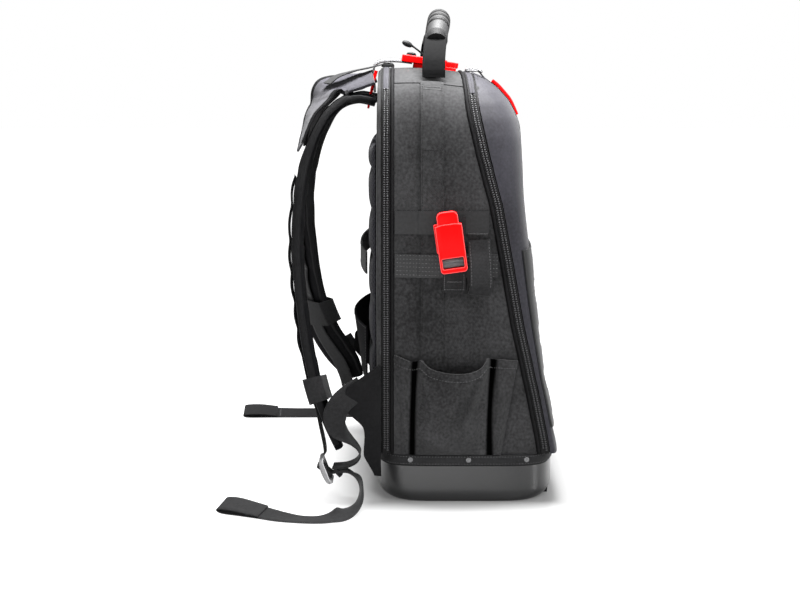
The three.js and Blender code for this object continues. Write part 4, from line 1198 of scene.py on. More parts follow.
# The pipings, the zips with their teeth and covers, and the dark linings behind them.
def trims():
    turns = [k / 12 * 2 * math.pi for k in range(12)]
    cord = [(piping_radius * math.cos(a), piping_radius * math.sin(a)) for a in turns]
    half = zip_width / 2
    tape = [(-half, -3), (half, -3), (half, -0.1), (half - 0.8, 0.25), (3.4, 0.1),
            (2.9, -0.3), (-2.9, -0.3), (-3.4, 0.1), (0.8 - half, 0.25), (-half, -0.1)]
    cover = [(-2.9, -0.2), (2.9, -0.2), (2.9, 0.5), (1.7, 1.15), (0.5, 1.3),
             (0.1, 0.9), (-0.1, 0.9), (-0.5, 1.3), (-1.7, 1.15), (-2.9, 0.5)]
    centre = piping_radius + gap / 2 + half + 0.2
    lining = [(-9, -4.8), (9, -4.8), (9, -4), (-9, -4)]
    top = side_at(teeth_top)
    zips = {"front": lambda s: seam_y(s) - centre, "rear": lambda s: rear_piping_y + centre}
    pipings = {"front": seam_y, "rear": lambda s: rear_piping_y}
    for side, y_at in zips.items():
        dress(body_trim(f"{side}_piping_cord", pipings[side], cord), "tape", f"{side}_piping")
        dress(body_trim(f"{side}_seam_lining", pipings[side], lining), "zip_tape", slot="tape")
        dress(body_trim(f"{side}_zip_lining", y_at, lining), "zip_tape", slot="tape")
        dress(body_trim(f"{side}_zip_tape", y_at, tape), "zip_tape", f"{side}_zip")
        dress(body_trim(f"{side}_zip_cover", y_at, cover, 60, top, 1 - top), "moulded_cloth", slot="zip_tape")
        spots = tooth_spots(y_at, 0.006, top) + tooth_spots(y_at, 1 - top, 0.994)
        repeat(f"{side}_zip_teeth", spots, shape=tooth_shape, look="tooth_plastic")


# A hollow dish that is open towards the inside of the pack.
def dish_body(name, dish, wall, columns, rows_each):
    heights = []
    for a, b in zip(dish["rows"], dish["rows"][1:]):
        heights += steps(a["z"], b["z"], rows_each)[:-1]
    heights.append(dish["rows"][-1]["z"])
    across = dish_steps(dish, columns)
    outer = [[dish_point(dish, a, z) for z in heights] for a in across]
    inner = [[dish_point(dish, a, z, -wall) for z in heights] for a in across]
    limit = min if dish["outwards"] > 0 else max
    for column in inner:
        for point, z in zip(column, heights):
            point.y = limit(point.y, dish["edge"](z))
    return shell(name, outer, inner)


# A line of places and outward directions on the front, from shares across and heights.
def front_line(places, lift):
    return [(dish_point(front_dish, a, z, lift), dish_normal(front_dish, a, z)) for a, z in places]


# The soft moulded front with its patch and two seams.
def front():
    dress(dish_body("front_dome_cloth", front_dish, 2.5, 64, 5), "moulded_cloth", "front_dome")
    dress(slotted_panel(), "laminated_cloth", "front_slotted_panel")
    # Thin pale bars along the slits' edges: a painted highlight where the cut edges catch the light.
    edges = []
    for x in slit_places:
        for side in (-1, 1):
            for row in range(slot_rows):
                low = slot_low + (row + 0.5) * slot_pitch - slit_height / 2
                edge = (x + side * slit_width / 2) / 166
                line = front_line([(edge, low + z) for z in steps(0, slit_height, 6)], 3)
                edges.append(bar(f"slit_edge_{len(edges)}", [p for p, _ in line], [0.55] * 7, 6))
    dress(joined(edges), "pale_edge").name = "front_slit_edges"

    def patch_surface(x, z):
        crown = (1 - abs(x / 34) ** 8) * (1 - abs((z - 401) / 15) ** 6)
        return dish_point(front_dish, x / 150, z, gap + 1.2 + 1.4 * max(0, crown) ** 0.5)

    xs = [34 * math.sin(math.pi / 2 * t) for t in steps(-1, 1, 30)]
    zs = [401 + 15 * math.sin(math.pi / 2 * t) for t in steps(-1, 1, 18)]
    dress(sheet("front_patch_pad", patch_surface, xs, zs, 1.2), "dark_rubber", "front_patch")

    # Two seams that run down the front from its top, each with a row of stitches beside it.
    cords, spots = [], []
    for side in (-1, 1):
        line = [(side * 61 / lookup(dome_rows, "z", z)["half"], z) for z in steps(462, 286, 70)]
        cords.append(bar(f"front_seam_{side}", [p for p, _ in front_line(line, 0.1)], [0.6] * len(line), 8))
        spots += spaced(front_line([(a + side * 0.02, z) for a, z in line], 0), stitch_pitch)
    dress(joined(cords), "tape").name = "front_seams"
    repeat("front_seam_stitches", spots)


# The slotted cloth on the lower front, with rows of slits cut through it and a seam between the rows.
def slotted_panel():
    slits = [(x + side * slit_width / 2) / 166 for x in slit_places for side in (-1, 1)]
    edges = [-0.985, -0.93, *slits, 0.93, 0.985]
    us, is_slit_column = [], []
    for i, (a, b) in enumerate(zip(edges, edges[1:])):
        narrow = 0 < i < len(edges) - 2 and i % 2 == 0
        cells = 2 if narrow else 7
        us += steps(a, b, cells)[:-1]
        is_slit_column += [narrow] * cells
    us.append(edges[-1])
    vs, is_slit_row = [], []
    for row in range(slot_rows):
        low = slot_low + row * slot_pitch
        middle, high = low + slot_pitch / 2, low + slot_pitch
        open_low, open_high = middle - slit_height / 2, middle + slit_height / 2
        stretches = ((low, open_low, 5, False), (open_low, open_high, 6, True), (open_high, high, 5, False))
        for a, b, cells, is_open in stretches:
            vs += steps(a, b, cells)[:-1]
            is_slit_row += [is_open] * cells
    vs.append(slot_low + slot_rows * slot_pitch)

    # Each row overlaps the next: it stands out a little more towards its lower edge.
    def surface(u, z):
        share = ((z - slot_low) / slot_pitch) % 1 if z < vs[-1] else 1
        belly = 0.9 * math.sin(math.pi * share) ** 2 * (1 - abs(u) ** 6)
        return dish_point(front_dish, u, z, 2 * gap + trim_wall + belly)

    panel = sheet("front_slotted_cloth", surface, us, vs, trim_wall,
                  lambda i, j: is_slit_column[i] and is_slit_row[j])
    spots = []
    lift = 2 * gap + trim_wall
    for row in range(slot_rows + 1):
        z = slot_low + row * slot_pitch
        for shift in (-stitch_inset, stitch_inset):
            if slot_low < z + shift < vs[-1]:
                seam = front_line([(a, z + shift) for a in steps(-0.97, 0.97, 120)], lift)
                spots += spaced(seam, stitch_pitch)
    for x in slit_places:
        for row in range(slot_rows):
            middle = slot_low + (row + 0.5) * slot_pitch
            for z in (middle - slit_height / 2 - 1.6, middle + slit_height / 2 + 1.6):
                spots += spaced(front_line([((x + dx) / 166, z) for dx in (-4, 4)], lift + 0.3), 1.3)
    repeat("front_slotted_stitches", spots)
    return panel


# A point of the ribbed cushion's outer face; across runs from -1 to 1.
def pad_surface(across, z, lift=0.0):
    i = 0
    while i < len(rib_notches) - 2 and z > rib_notches[i + 1]:
        i += 1
    f = clamp((z - rib_notches[i]) / (rib_notches[i + 1] - rib_notches[i]), 0, 1)
    rib = pad_valley + (pad_height - pad_valley) * (1 - abs(2 * f - 1) ** 3.5)
    ends = (1 - abs(across) ** 8) ** 0.5
    soft = 0.5 * ripple((pad_half * across, i * 40, z), 34, 3) * ends
    return Vector((pad_half * across, pad_root + 0.8 + (rib - 0.8) * ends + lift + soft, z))


# The wearer's side: the lid, the ribbed pad and the two bands across it.
def back():
    dress(dish_body("back_lid_cloth", back_dish, cloth_wall, 44, 5), "black_cloth", "back_lid")
    across = [-math.sin(math.pi / 2 * t) for t in steps(-1, 1, 60)]
    heights = []
    for low, high in zip(rib_notches, rib_notches[1:]):
        shares = (0, 0.02, 0.05, 0.1, 0.17, 0.28, 0.42, 0.58, 0.72, 0.83, 0.9, 0.95, 0.98)
        heights += [lerp(low, high, share) for share in shares]
    heights.append(rib_notches[-1])
    outer = [[pad_surface(a, z) for z in heights] for a in across]
    inner = [[Vector((pad_half * a, pad_root, z)) for z in heights] for a in across]
    cushion = dress(shell("back_pad_cushion", outer, inner), "mesh_cloth", "back_pad")
    spots = []
    for z in rib_notches[1:-1]:
        line = [(pad_surface(a, z), Vector((0, 1, 0))) for a in steps(-0.94, 0.94, 120)]
        spots += spaced(line, stitch_pitch)
    loop, loop_spots = back_band("back_loop_band", 124, 249, 274, 9, 9)
    sleeve_band, sleeve_spots = back_band("trolley_sleeve_band", 124, 128, 190, 8, 17)
    dress(loop, "webbing", "back_loop", slot="mesh_cloth")
    dress(sleeve_band, "pad_cloth", "trolley_sleeve", slot="mesh_cloth")
    repeat("back_stitches", spots + loop_spots + sleeve_spots)


# A cloth band across the back that stands away from the cushion in the middle, and its seams.
def back_band(name, half, low, high, low_bulge, high_bulge):
    root = pad_root + pad_height + 0.6

    def surface(u, z):
        arch = max(0, math.cos(u * math.pi / 2)) ** 0.8
        bulge = lerp(low_bulge, high_bulge, (z - low) / (high - low)) * arch
        return Vector((-half * u, root + trim_wall + bulge, z))

    us = [math.sin(math.pi / 2 * t) for t in steps(-1, 1, 60)]
    spots = []
    for z in (low + stitch_inset, high - stitch_inset):
        spots += spaced([(surface(u, z), Vector((0, 1, 0))) for u in us], stitch_pitch)
    for u in (-0.97, 0.97):
        spots += spaced([(surface(u, z), Vector((0, 1, 0))) for z in steps(low, high, 10)], stitch_pitch)
    return sheet(name, surface, us, steps(low, high, 12), trim_wall), spots


# A cloth strip or band on the left side, between two heights and two distances from the back.
def side_patch(name, ys, zs, lift, wall=trim_wall):
    surface = lambda y, z: side_point(-y, z, lift(-y, z) + wall)
    return sheet(name, surface, [-y for y in ys], zs, wall)


# How far a band has to lift to pass over the long webbing.
def over_strip(y, _):
    front_edge, rear_edge = strip_front - 1, strip_rear + 1
    near = min(smoothstep(y, front_edge - 4, front_edge), 1 - smoothstep(y, rear_edge, rear_edge + 4))
    return gap + near * (trim_wall + 0.5)


def strip_lift(_, z):
    return gap + 0.8 * smoothstep(z, 350, 400)


# A line of places and outward directions on a patch of the left side.
def side_line(places, lift):
    return [(side_point(y, z, lift(y, z) + trim_wall), outline_normal(side_at(z))) for y, z in places]


# The webbing, bands and loops on each side.
def side_trims():
    strip = side_patch("side_strip_left_webbing", steps(strip_rear, strip_front, 8), steps(150, 458.5, 70),
                       strip_lift)
    dress_pair(strip, "black_cloth", "side_strip", slot="webbing")
    upper = side_patch("upper_band_left_cloth", steps(78, -23.5, 60), steps(297, 322, 8), over_strip)
    dress_pair(upper, "laminated_cloth", "upper_band")
    lower = side_patch("lower_band_left_cloth", steps(78, -33, 64), steps(251, 276, 8), over_strip)
    dress_pair(lower, "laminated_cloth", "lower_band")
    web = side_patch("buckle_web_left_strip", steps(26.5, 1.5, 8), steps(236, 316, 30), lambda _, z: 4.6)
    dress_pair(web, "webbing", "buckle_web")
    dress_pair(strap("tool_loop_left_strip", tool_loop, webbing - 1, trim_wall, 70), "webbing", "tool_loop")

    spots, dark_spots = [], []
    for y in (strip_rear - stitch_inset, strip_front + stitch_inset):
        for low, high in ((152, 250), (277, 296), (323, 456)):
            dark_spots += spaced(side_line([(y, z) for z in steps(low, high, 40)], strip_lift), stitch_pitch)
    for z in steps(253, 274, 5):
        spots += spaced(side_line([(y, z + 0.02 * (y - 20)) for y in steps(77, -32, 60)], over_strip), 3.5)
    for z in (449, 451.5):
        spots += spaced(side_line([(y, z) for y in steps(48, 27, 12)], strip_lift), 1.6)
    dark_spots += spaced(side_line([(y, 387) for y in steps(48, 27, 12)], strip_lift), 2.6)
    web_lift = lambda y, z: 4.6
    for y in (24.5, 3.5):
        spots += spaced(side_line([(y, z) for z in steps(238, 256, 10)], web_lift), 2.2)
    spots += spaced(side_line([(y, 247) for y in steps(22, 6, 10)], web_lift), 1.8)
    spots += spaced(side_line([(y, 239) for y in steps(25, 3, 10)], web_lift), 2.4)
    spots += strap_spots(tool_loop, webbing - 1, trim_wall, 0.02, 0.42)
    repeat("side_stitches_left", spots, True)
    repeat("strip_stitches_left", dark_spots, True, look="dark_thread")
    tacks = spaced(side_line([(y, 297) for y in steps(-1, -22, 14)], lambda y, z: gap + 1.8), 1.5)
    turned_tacks = [(place, out.cross(along), out) for place, along, out in tacks]
    repeat("side_tacks_left", turned_tacks, True, shape=tack_shape)


# Stitches along both edges of a strap's outer face.
def strap_spots(rows, width, thick, start, end):
    spots = []
    for side in (-1, 1):
        line = []
        for t in steps(start, end, 120):
            _, place, wide, out, _ = frame_at(rows, t)
            line.append((place + wide * side * (width / 2 - stitch_inset) + out * (thick / 2), out))
        spots += spaced(line, stitch_pitch)
    return spots


# Bar tacks straight across a strap at t.
def cross_spots(rows, width, thick, t, lift=None, face=1):
    row, place, wide, out, travel = frame_at(rows, t)
    height = (lift(row, t) if lift else 0) + face * thick / 2
    ends = [place + wide * side * (width / 2 - 2.2) + out * height for side in (-1, 1)]
    return [(p, travel, o) for p, _, o in spaced([(end, out * face) for end in ends], tack_pitch)]


# How far a pocket's cloth stands out at a place, from its creases and its soft unevenness.
def crease_height(y, z):
    total = 0.9 * ripple((0, y, z), 26, 5) + 0.35 * ripple((0, y, z), 9, 6)
    for row in pocket_creases:
        a, b = Vector((row["y0"], row["z0"])), Vector((row["y1"], row["z1"]))
        line = b - a
        share = clamp((Vector((y, z)) - a).dot(line) / line.length_squared, 0, 1)
        away = (Vector((y, z)) - a - line * share).length / row["wide"]
        swell = 0.35 + 0.65 * math.sin(math.pi * (0.15 + 0.7 * share))
        total += row["high"] * math.exp(-away * away) * swell
    return total


# The pleated pocket, open at its top; its cloth leaves the side only between its sewn edges.
def pocket_point(t, v, lift=0.0):
    foot = body_bottom + 1.2
    fold = sample(pocket_folds, t)
    belly = fold["footOut"] * min(1, 5 * v) + (fold["out"] - fold["footOut"]) * v
    y, z = lerp(fold["foot"], fold["y"], v), lerp(foot, fold["rim"], v)
    free = min(1, 8 * t, 8 * (1 - t)) * min(1, 6 * v, 0.25 + 6 * (1 - v))
    relief = max(-0.8 * belly, crease_height(y, z)) * free
    return side_point(y, z, gap + cloth_wall + trim_wall + belly + relief + lift)


# How deep in a pleat's shade a place of the pocket lies.
def pleat_shade(_, y, z):
    v = (z - body_bottom) / 108
    bow = math.sin(math.pi * clamp(v, 0, 1))
    left = abs(y - lerp(59, 56, v) - 0.8 * bow) / (5.4 - 0.8 * bow)
    right = abs(y - lerp(-26, -28.5, v) - 1.8 * bow) / (6 - 1.5 * bow)
    return 1 - smoothstep(min(left, right), 0.35, 1.05)


# The pocket's cloth, hem and stitches, the same on both sides.
def side_pocket():
    us = steps(0, 1, 130)
    pocket = sheet("side_pocket_left_cloth", pocket_point, us, steps(0, 1, 44), cloth_wall)
    # Shade is painted into the pocket's pleats.
    mark(pocket, "hollow", pleat_shade)
    hem = sheet("pocket_hem_left_cloth", lambda t, v: pocket_point(t, v, 0.7), us, steps(0.905, 1.004, 5),
                cloth_wall + 0.8)
    for piece, side in zip(dress_pair(pocket, "black_cloth", "side_pocket"), ("left", "right")):
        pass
    # The hem gets the same painted pleat shade.
    dress_pair(mark(hem, "hollow", pleat_shade), "black_cloth")
    line = [pocket_point(t, hem_seam, 0.7) for t in us]
    outs = [(pocket_point(t, hem_seam, 3) - pocket_point(t, hem_seam, 0)).normalized() for t in us]
    repeat("pocket_stitches_left", spaced(list(zip(line, outs)), stitch_pitch), True)


# How deep in one of the grip's grooves a place along it lies.
def groove_at(x):
    away = abs(x - 12 * round(x / 12))
    return (1 - smoothstep(away, 1.2, 2)) * (abs(x) < 52)


# The top strap and the handle.
def carrying():
    # The handle's legs wear a darker copy of the webbing: painted shade, so they stay dark under the top lamp.
    legs = strap("handle_webbing_left_strap", handle_rows, webbing, 2.4, 48)
    dress_pair(legs, "dark_webbing", "handle_webbing")
    relief = lambda t, _: -1.4 * groove_at(sample(grip_rows, t)["x"])
    grip = pad("handle_grip_rubber", grip_rows, 300, 32, 1, relief)
    # The grooves are marked so that shade is painted into them.
    mark(grip, "rim", lambda x, y, z: groove_at(x))
    dress(grip, "grip_rubber", "handle_grip")
    collar = [Vector(p) for p in ((-65.6, 31.4, 509), (-67.2, 31.5, 508), (-72, 31.8, 505), (-76, 32, 502.6))]
    collar_bar = bar("handle_collar_left", collar, [11.8, 12.6, 12.8, 11.6], 32)
    dress_pair(collar_bar, "zip_tape", slot="dark_rubber")
    top = strap("top_strap_webbing", top_strap_rows, webbing, 2.4, 60)
    dress(top, "pale_webbing", "top_strap")
    yoke_tape = table("x y z wx wy wz", [
        (-34, 99, 476.5, 1, 0, 0),
        (-46, 112, 473.5, 1, 0.1, 0),
        (-58, 128, 470, 0.98, 0.15, 0),
        (-66, 143, 465, 0.96, 0.2, 0.1),
        (-71, 154, 457, 0.95, 0.2, 0.2),
    ])
    dress_pair(strap("yoke_top_tape_left", yoke_tape, 20, 1.6, 40), "webbing")
    spots = strap_spots(top_strap_rows, webbing, 2.4, 0.02, 0.6)
    repeat("top_strap_stitches", spots)
    legs_spots = strap_spots(handle_rows, webbing, 2.4, 0.0, 0.55)
    for t in (0.1, 0.14):
        legs_spots += cross_spots(handle_rows, webbing, 2.4, t)
    repeat("handle_stitches_left", legs_spots, True)


# How far the daisy chain of webbing stands off a shoulder pad at t.
def chain_lift(chain_end):
    leave = 0.9

    def lift(row, t):
        chain = 2 * abs(math.sin(math.pi * (t - chain_start) / chain_pitch)) if t < chain_end else 0
        return row["thick"] / 2 + gap + 0.8 + chain + 12 * (max(0, t - leave) / (1 - leave)) ** 1.5

    return lift


# A sewn sleeve that goes round a padded strap between two places along it.
def sleeve(name, rows, start, end):
    corner, wall = 3, 1.4

    def ring(t, extra):
        row, place, wide, out, _ = frame_at(rows, t)
        w, h = row["half"] + 0.8 + extra, row["thick"] / 2 + 3.6 + extra
        half = [(w, h - corner), (w - 0.9, h - 0.9), (w - corner, h),
                (corner - w, h), (0.9 - w, h - 0.9), (-w, h - corner)]
        return [place + wide * a + out * b for a, b in half + [(-a, -b) for a, b in half]]

    inner = [ring(t, 0) for t in steps(end, start, 6)]
    return loft(name, inner + [ring(t, wall) for t in steps(start, end, 6)], True)


# The folded tape around both edges of a padded strap.
def edge_tapes(name, rows, start=0.02, end=0.985, reach=0.0):
    pieces = []
    section = [(-6.5, 1), (-2, 1), (0.5, 0.8), (1.2, 0.3), (1.2, -0.3), (0.5, -0.8), (-2, -1), (-6.5, -1)]
    for side in (-1, 1):
        rings = []
        for t in steps(start, end, 130):
            row, place, wide, out, _ = frame_at(rows, t)
            high = 0.62 * row["thick"] / 2 + 0.5 + reach
            rings.append([place + wide * side * (row["half"] + a) + out * (b * high) for a, b in section])
        pieces.append(loft(f"{name}_{side}", rings))
    obj = joined(pieces)
    obj.name = name
    return obj


# Soft puffs between the places where the webbing is tacked down, and a fine unevenness.
def pad_relief(seed, tacks):
    def relief(t, angle):
        puff = 0.0
        for tack in tacks:
            puff -= 0.9 * math.exp(-((t - tack) / 0.012) ** 2)
        flank = 0.6 * ripple((t * 900, 30 * math.cos(angle), 30 * math.sin(angle)), 40, seed)
        return (puff * abs(math.sin(angle)) + flank) * min(1, 12 * t, 12 * (1 - t))
    return relief


# The shoulder straps with their tapes, chains and keepers, and the yoke flaps.
def shoulders():
    sides = {
        "left": (pad_rows_left, 0.78, (0.835, 0.892), 1),
        "right": (pad_rows_right, 0.72, (0.73, 0.785), 2),
    }
    for side, (rows, chain_end, keeper, seed) in sides.items():
        count = round((chain_end - chain_start) / chain_pitch) + 1
        tacks = [chain_start + chain_pitch * k for k in range(count)]
        cushion = pad(f"shoulder_pad_{side}_cushion", rows, 220, 28, 2 / 3.2, pad_relief(seed, tacks))
        dress(cushion, "pad_cloth", f"shoulder_pad_{side}")
        dress(edge_tapes(f"shoulder_tape_{side}", rows), "tape")
        lift = chain_lift(chain_end)
        chain = strap(f"strap_webbing_{side}_chain", rows, webbing, trim_wall, 260, chain_start, lift)
        dress(chain, "webbing", f"strap_webbing_{side}")
        dress(sleeve(f"keeper_{side}_sleeve", rows, *keeper), "webbing", f"keeper_{side}")
        spots = []
        for t in tacks:
            for shift in (-0.002, 0.002):
                spots += cross_spots(rows, webbing, trim_wall, t + shift, lift)
        repeat(f"shoulder_tacks_{side}", spots, shape=tack_shape)
    flap = pad("yoke_flap_left_cushion", yoke_rows, 110, 24, 2 / 3.2, pad_relief(7, []))
    # The yoke flaps wear a lighter copy of the pads' cloth: painted light from above.
    for piece in dress_pair(flap, "yoke_cloth", "yoke_flap"):
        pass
    dress_pair(edge_tapes("yoke_tape_left", yoke_rows, 0.3, 0.99, 0.2), "tape")


# The wings, the lower webbing and the long tails.
def lower_straps():
    def surface(u, z):
        row = lookup(wing_rows, "z", z)
        return Vector((lerp(-171.6, row["x"], -u), lerp(93.4, row["y"], -u), z))

    wing = sheet("wing_left_cloth", surface, steps(-1, 0, 18), steps(31, 154, 60), cloth_wall)
    for piece in dress_pair(wing, "tape", "wing", slot="black_cloth"):
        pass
    straps = {
        "lower_webbing_left": (lower_rows_left, 100, ()), "lower_webbing_right": (lower_rows_right, 80, ()),
        "webbing_tail_left": (tail_rows_left, 220, (0.62, 0.645)),
        "webbing_tail_right": (tail_rows_right, 200, (0.7, 0.725)),
    }
    spots = []
    for name, (rows, count, tacks) in straps.items():
        dress(strap(name + "_strap", rows, webbing, trim_wall, count), "webbing", name)
        for t in tacks:
            spots += cross_spots(rows, webbing, trim_wall, t, face=-1)
            spots += cross_spots(rows, webbing, trim_wall, t)
    repeat("tail_tacks", spots, shape=tack_shape)


# The red buckle in its own axes: a broad body with a rim and a window, and a narrower tongue above it.
def buckle(name):
    half, tongue = buckle_width / 2, buckle_width / 2 - 3
    low, shoulder, high = -buckle_length / 2, buckle_length * 0.28, buckle_length / 2
    step = shoulder + 1.4
    body_outline = rounded([(-half, low, 4), (half, low, 4), (half, shoulder, 1.2), (tongue - 4, step, 2),
                            (4 - tongue, step, 2), (-half, shoulder, 1.2)])
    window = rounded_box(3 - half, low + 5, half - 3, low + 16, 1)
    body = plate(name, body_outline, [window], 0, buckle_depth, 0.9)
    foot = shoulder - 6
    tongue_outline = rounded([(-tongue, foot, 1), (tongue, foot, 1), (tongue, high, 6), (-tongue, high, 6)])
    tongue_plate = plate(name + "_tongue", tongue_outline, [], 0.6, buckle_depth - 1.2, 0.9)
    back_outline = rounded_box(-half - 1.3, low + 22, 0, shoulder + 2, 1.5)
    return joined([body, tongue_plate, plate(name + "_back", back_outline, [], 0.3, 3, 0.6)])


# The webbing that shows in the buckle's window, folded twice round its bar.
def buckle_bands(name):
    half, low = buckle_width / 2 - 3.4, -buckle_length / 2
    rows = [(5.4, 1), (6.6, 3.4), (8.6, 4.4), (10, 3.2), (10.6, 2.2),
            (11.2, 3.2), (12.6, 4.2), (14.6, 3), (15.6, 1)]
    outer = [[Vector((x, low + y, z + 1)) for y, z in rows] for x in steps(-half, half, 12)]
    inner = [[Vector((x, low + y, z - 0.4)) for y, z in rows] for x in steps(-half, half, 12)]
    return shell(name, outer, inner)


# The side buckles and the top buckle.
def buckles():
    lean = math.radians(8)
    across = Vector((0, -1, 0)) * math.cos(lean) + Vector((0, 0, 1)) * math.sin(lean)
    up = Vector((0, 0, 1)) * math.cos(lean) - Vector((0, -1, 0)) * math.sin(lean)
    out, place = Vector((-1, 0, 0)), (-176.4, 18.4, 291)
    side = placed(buckle("side_buckle_left_body"), across, up, out, place)
    dress_pair(side, "red_plastic", "side_buckle")
    dress_pair(placed(buckle_bands("side_buckle_bands_left"), across, up, out, place), "pale_webbing")
    tilt = math.radians(8)
    along, above = Vector((0, -math.cos(tilt), -math.sin(tilt))), Vector((0, -math.sin(tilt), math.cos(tilt)))
    axes, top_place = (Vector((-1, 0, 0)), along, above), (0, 38, 477)
    steps_under = [plate(f"top_buckle_step_{k}", rounded_box(-12, low, 12, high, 2), [], -5.5, 1, 0.8)
                   for k, (low, high) in enumerate(((-19, 3), (10, 31)))]
    dress(placed(joined(steps_under), *axes, top_place), "red_plastic").name = "top_buckle_steps"
    button_places = ((53.5, 488.2), (55, 489.4), (59, 490.2), (63, 490.4), (64.6, 489.6))
    button = [Vector((0, y, z)) for y, z in button_places]
    dress(bar("top_buckle_button", button, [0.6, 1.7, 2.1, 1.7, 0.6]), "dark_rubber")
    dress(placed(buckle("top_buckle_body"), *axes, top_place), "red_plastic", "top_buckle")
    dress(placed(buckle_bands("top_buckle_bands"), *axes, top_place), "pale_webbing")


# A three-bar slide in its own axes, with rounded bars and ribs on its front bar.
def ladder_lock(name):
    slots = [rounded_box(-13.2, low, 13.2, high, 1) for low, high in ((-10.5, -3), (2, 10.5))]
    pieces = [plate(name, rounded_box(-17, -15, 17, 15, 5), slots, -2.5, 2.5, 0.9)]
    for k in range(7):
        x = -12 + 4 * k
        rib = rounded_box(x - 0.8, -14, x + 0.8, -11.4, 0.7)
        pieces.append(plate(f"{name}_rib_{k}", rib, [], 2, 3.1, 0.4))
    lock = joined(pieces)
    for vert in lock.data.vertices:
        vert.co.z -= 3.4 * millimetre * (1 - (vert.co.y / (15 * millimetre)) ** 2)
    return lock


# The two ladder locks, where the tails leave the lower webbing.
def ladder_locks():
    for side, place, lean in (("left", (-157, 153.5, 36), 0.367), ("right", (152, 134.4, 43.5), -0.25)):
        up, across = Vector((0, math.sin(lean), math.cos(lean))), Vector((1, 0, 0))
        lock = placed(ladder_lock(f"ladder_lock_{side}_body"), across, up, across.cross(up), place)
        dress(lock, "grey_plastic", f"ladder_lock_{side}")
        rolls = []
        for k, line in enumerate((((6.5, 8), (2, 0.5), (-2.5, -8)), ((-9.5, -2), (-11, -7), (-12.5, -11.5)))):
            middle = [Vector(place) + up * high - across.cross(up) * deep for deep, high in line]
            rows = table("x y z", middle, wx=1, wy=0, wz=0, half=12.5, thick=6)
            rolls.append(pad(f"lock_roll_{side}_{k}", rows, 16, 16))
        dress(joined(rolls), "webbing").name = f"lock_rolls_{side}"


# A zip slider in its own axes: a body with raised edges, a bridge and a knob that holds the pull.
def slider(name):
    body = rounded([(-4.2, -7.5, 2.4), (4.2, -7.5, 2.4), (3.4, 7.5, 2.4), (-3.4, 7.5, 2.4)])
    pieces = [plate(name, body, [], 0, 2.4, 0.7)]
    for side in (-1, 1):
        low, high = side * 3.4, side * 2.8
        flange = [(low - 0.7, -7, 0.6), (low + 0.7, -7, 0.6), (high + 0.7, 7, 0.6), (high - 0.7, 7, 0.6)]
        pieces.append(plate(f"{name}_flange_{side}", rounded(flange), [], 1.8, 3.6, 0.4))
    arch = [Vector((0, 6 * math.cos(a), 2.2 + 2.5 * math.sin(a))) for a in steps(0, math.pi, 14)]
    pieces.append(bar(name + "_bridge", arch, [1.1] * len(arch), 10))
    return joined(pieces)


# A flat moulded pull along a table of rows: a pinched root, a broad waist and a fine raised edge.
def pull(name, rows, root, waist, tip):
    rings = []
    for t in steps(0, 1, 40):
        _, place, wide, out, _ = frame_at(rows, t)
        ends = (root, waist, smoothstep(t, 0.05, 0.35)) if t < 0.6 else (waist, tip, smoothstep(t, 0.6, 1))
        width = lerp(*ends)
        thick = lerp(4, 2.6, smoothstep(t, 0.5, 1)) * (1 - 0.12 * math.sin(math.pi * t))
        ring = []
        for k in range(16):
            a = (k + 0.5) / 16 * 2 * math.pi
            across, up = squared(math.cos(a), 0.5), squared(math.sin(a), 0.5)
            ring.append(place + wide * (width / 2 * across) + out * (thick / 2 * up))
        rings.append(ring)
    return loft(name, rings)


# The line of the red pull that hangs from the front zip over the soft front.
def front_pull_rows():
    rows = []
    for z in (453, 449, 443, 436, 428, 421):
        point = dish_point(front_dish, -45 / lookup(dome_rows, "z", z)["half"], z, 2.2)
        rows.append(tuple(point))
    return table("x y z", rows, wx=0.985, wy=-0.13, wz=0.11)


# The sliders and pulls of the two zips.
def zip_hardware():
    left, forward, up = Vector((-1, 0, 0)), Vector((0, -1, 0)), Vector((0, 0, 1))
    front_slider = placed(slider("front_slider_body"), left, forward, up, (-45, -8.6, 469.8))
    dress(front_slider, "slider_metal", "front_slider")
    dress(placed(slider("rear_slider_body"), left, forward, up, (-24, 86.2, 475)), "dark_plastic",
          "rear_slider", slot="slider_metal")
    dress(pull("front_pull_body", front_pull_rows(), 7, 11, 8.5), "red_plastic", "front_pull")
    dress(pull("rear_pull_body", rear_pull_rows, 7, 10, 8), "red_plastic", "rear_pull")
    knob_places = ((-15.8, 471.4), (-16.8, 471.6), (-18.6, 470.8), (-20.2, 469.6), (-20.9, 468.4))
    knob = [Vector((-45, y, z)) for y, z in knob_places]
    dress(bar("front_slider_knob", knob, [0.8, 1.8, 2.2, 1.8, 0.8]), "slider_metal")
    cords = []
    for side in (-1, 1):
        path = [(-15.5, 470.8), (-18, 469.4), (-21, 466), (-24, 462.4), (-27.5, 458.8), (-30.5, 455.6)]
        points = [Vector((-45 + side * 1.5, y, z)) for y, z in path]
        cords.append(bar(f"front_pull_cords_{side}", points, [0.75] * len(points), 10))
    dress(joined(cords), "dark_rubber").name = "front_pull_cords"


# The round tapering cord with an oval knob at its end that stands up beside the handle.
def cord_pull():
    rows = table("x y z r", [
        (-24, 36, 476.5, 1.1),
        (-24, 42, 484, 1.1),
        (-25, 49, 492, 1.1),
        (-26, 57.5, 498.5, 1.2),
        (-26.3, 60, 499.6, 2.6),
        (-26.8, 64, 501.4, 3.4),
        (-27.2, 67.5, 502.9, 2.8),
        (-27.4, 69.5, 503.8, 1.2),
    ])
    fine = [sample(rows, t) for t in steps(0, 1, 42)]
    points = [Vector((row["x"], row["y"], row["z"])) for row in fine]
    dress(bar("zip_cord_pull_knob", points, [row["r"] for row in fine], 16), "dark_rubber", "zip_cord_pull")


# The CAD's own shapes that stay as they are.
def kept_nodes():
    for obj in bpy.data.objects:
        if obj.type == "MESH" and obj.name == "front_foot":
            obj.data.materials.clear()
            obj.data.materials.append(looks["dark_rubber"])
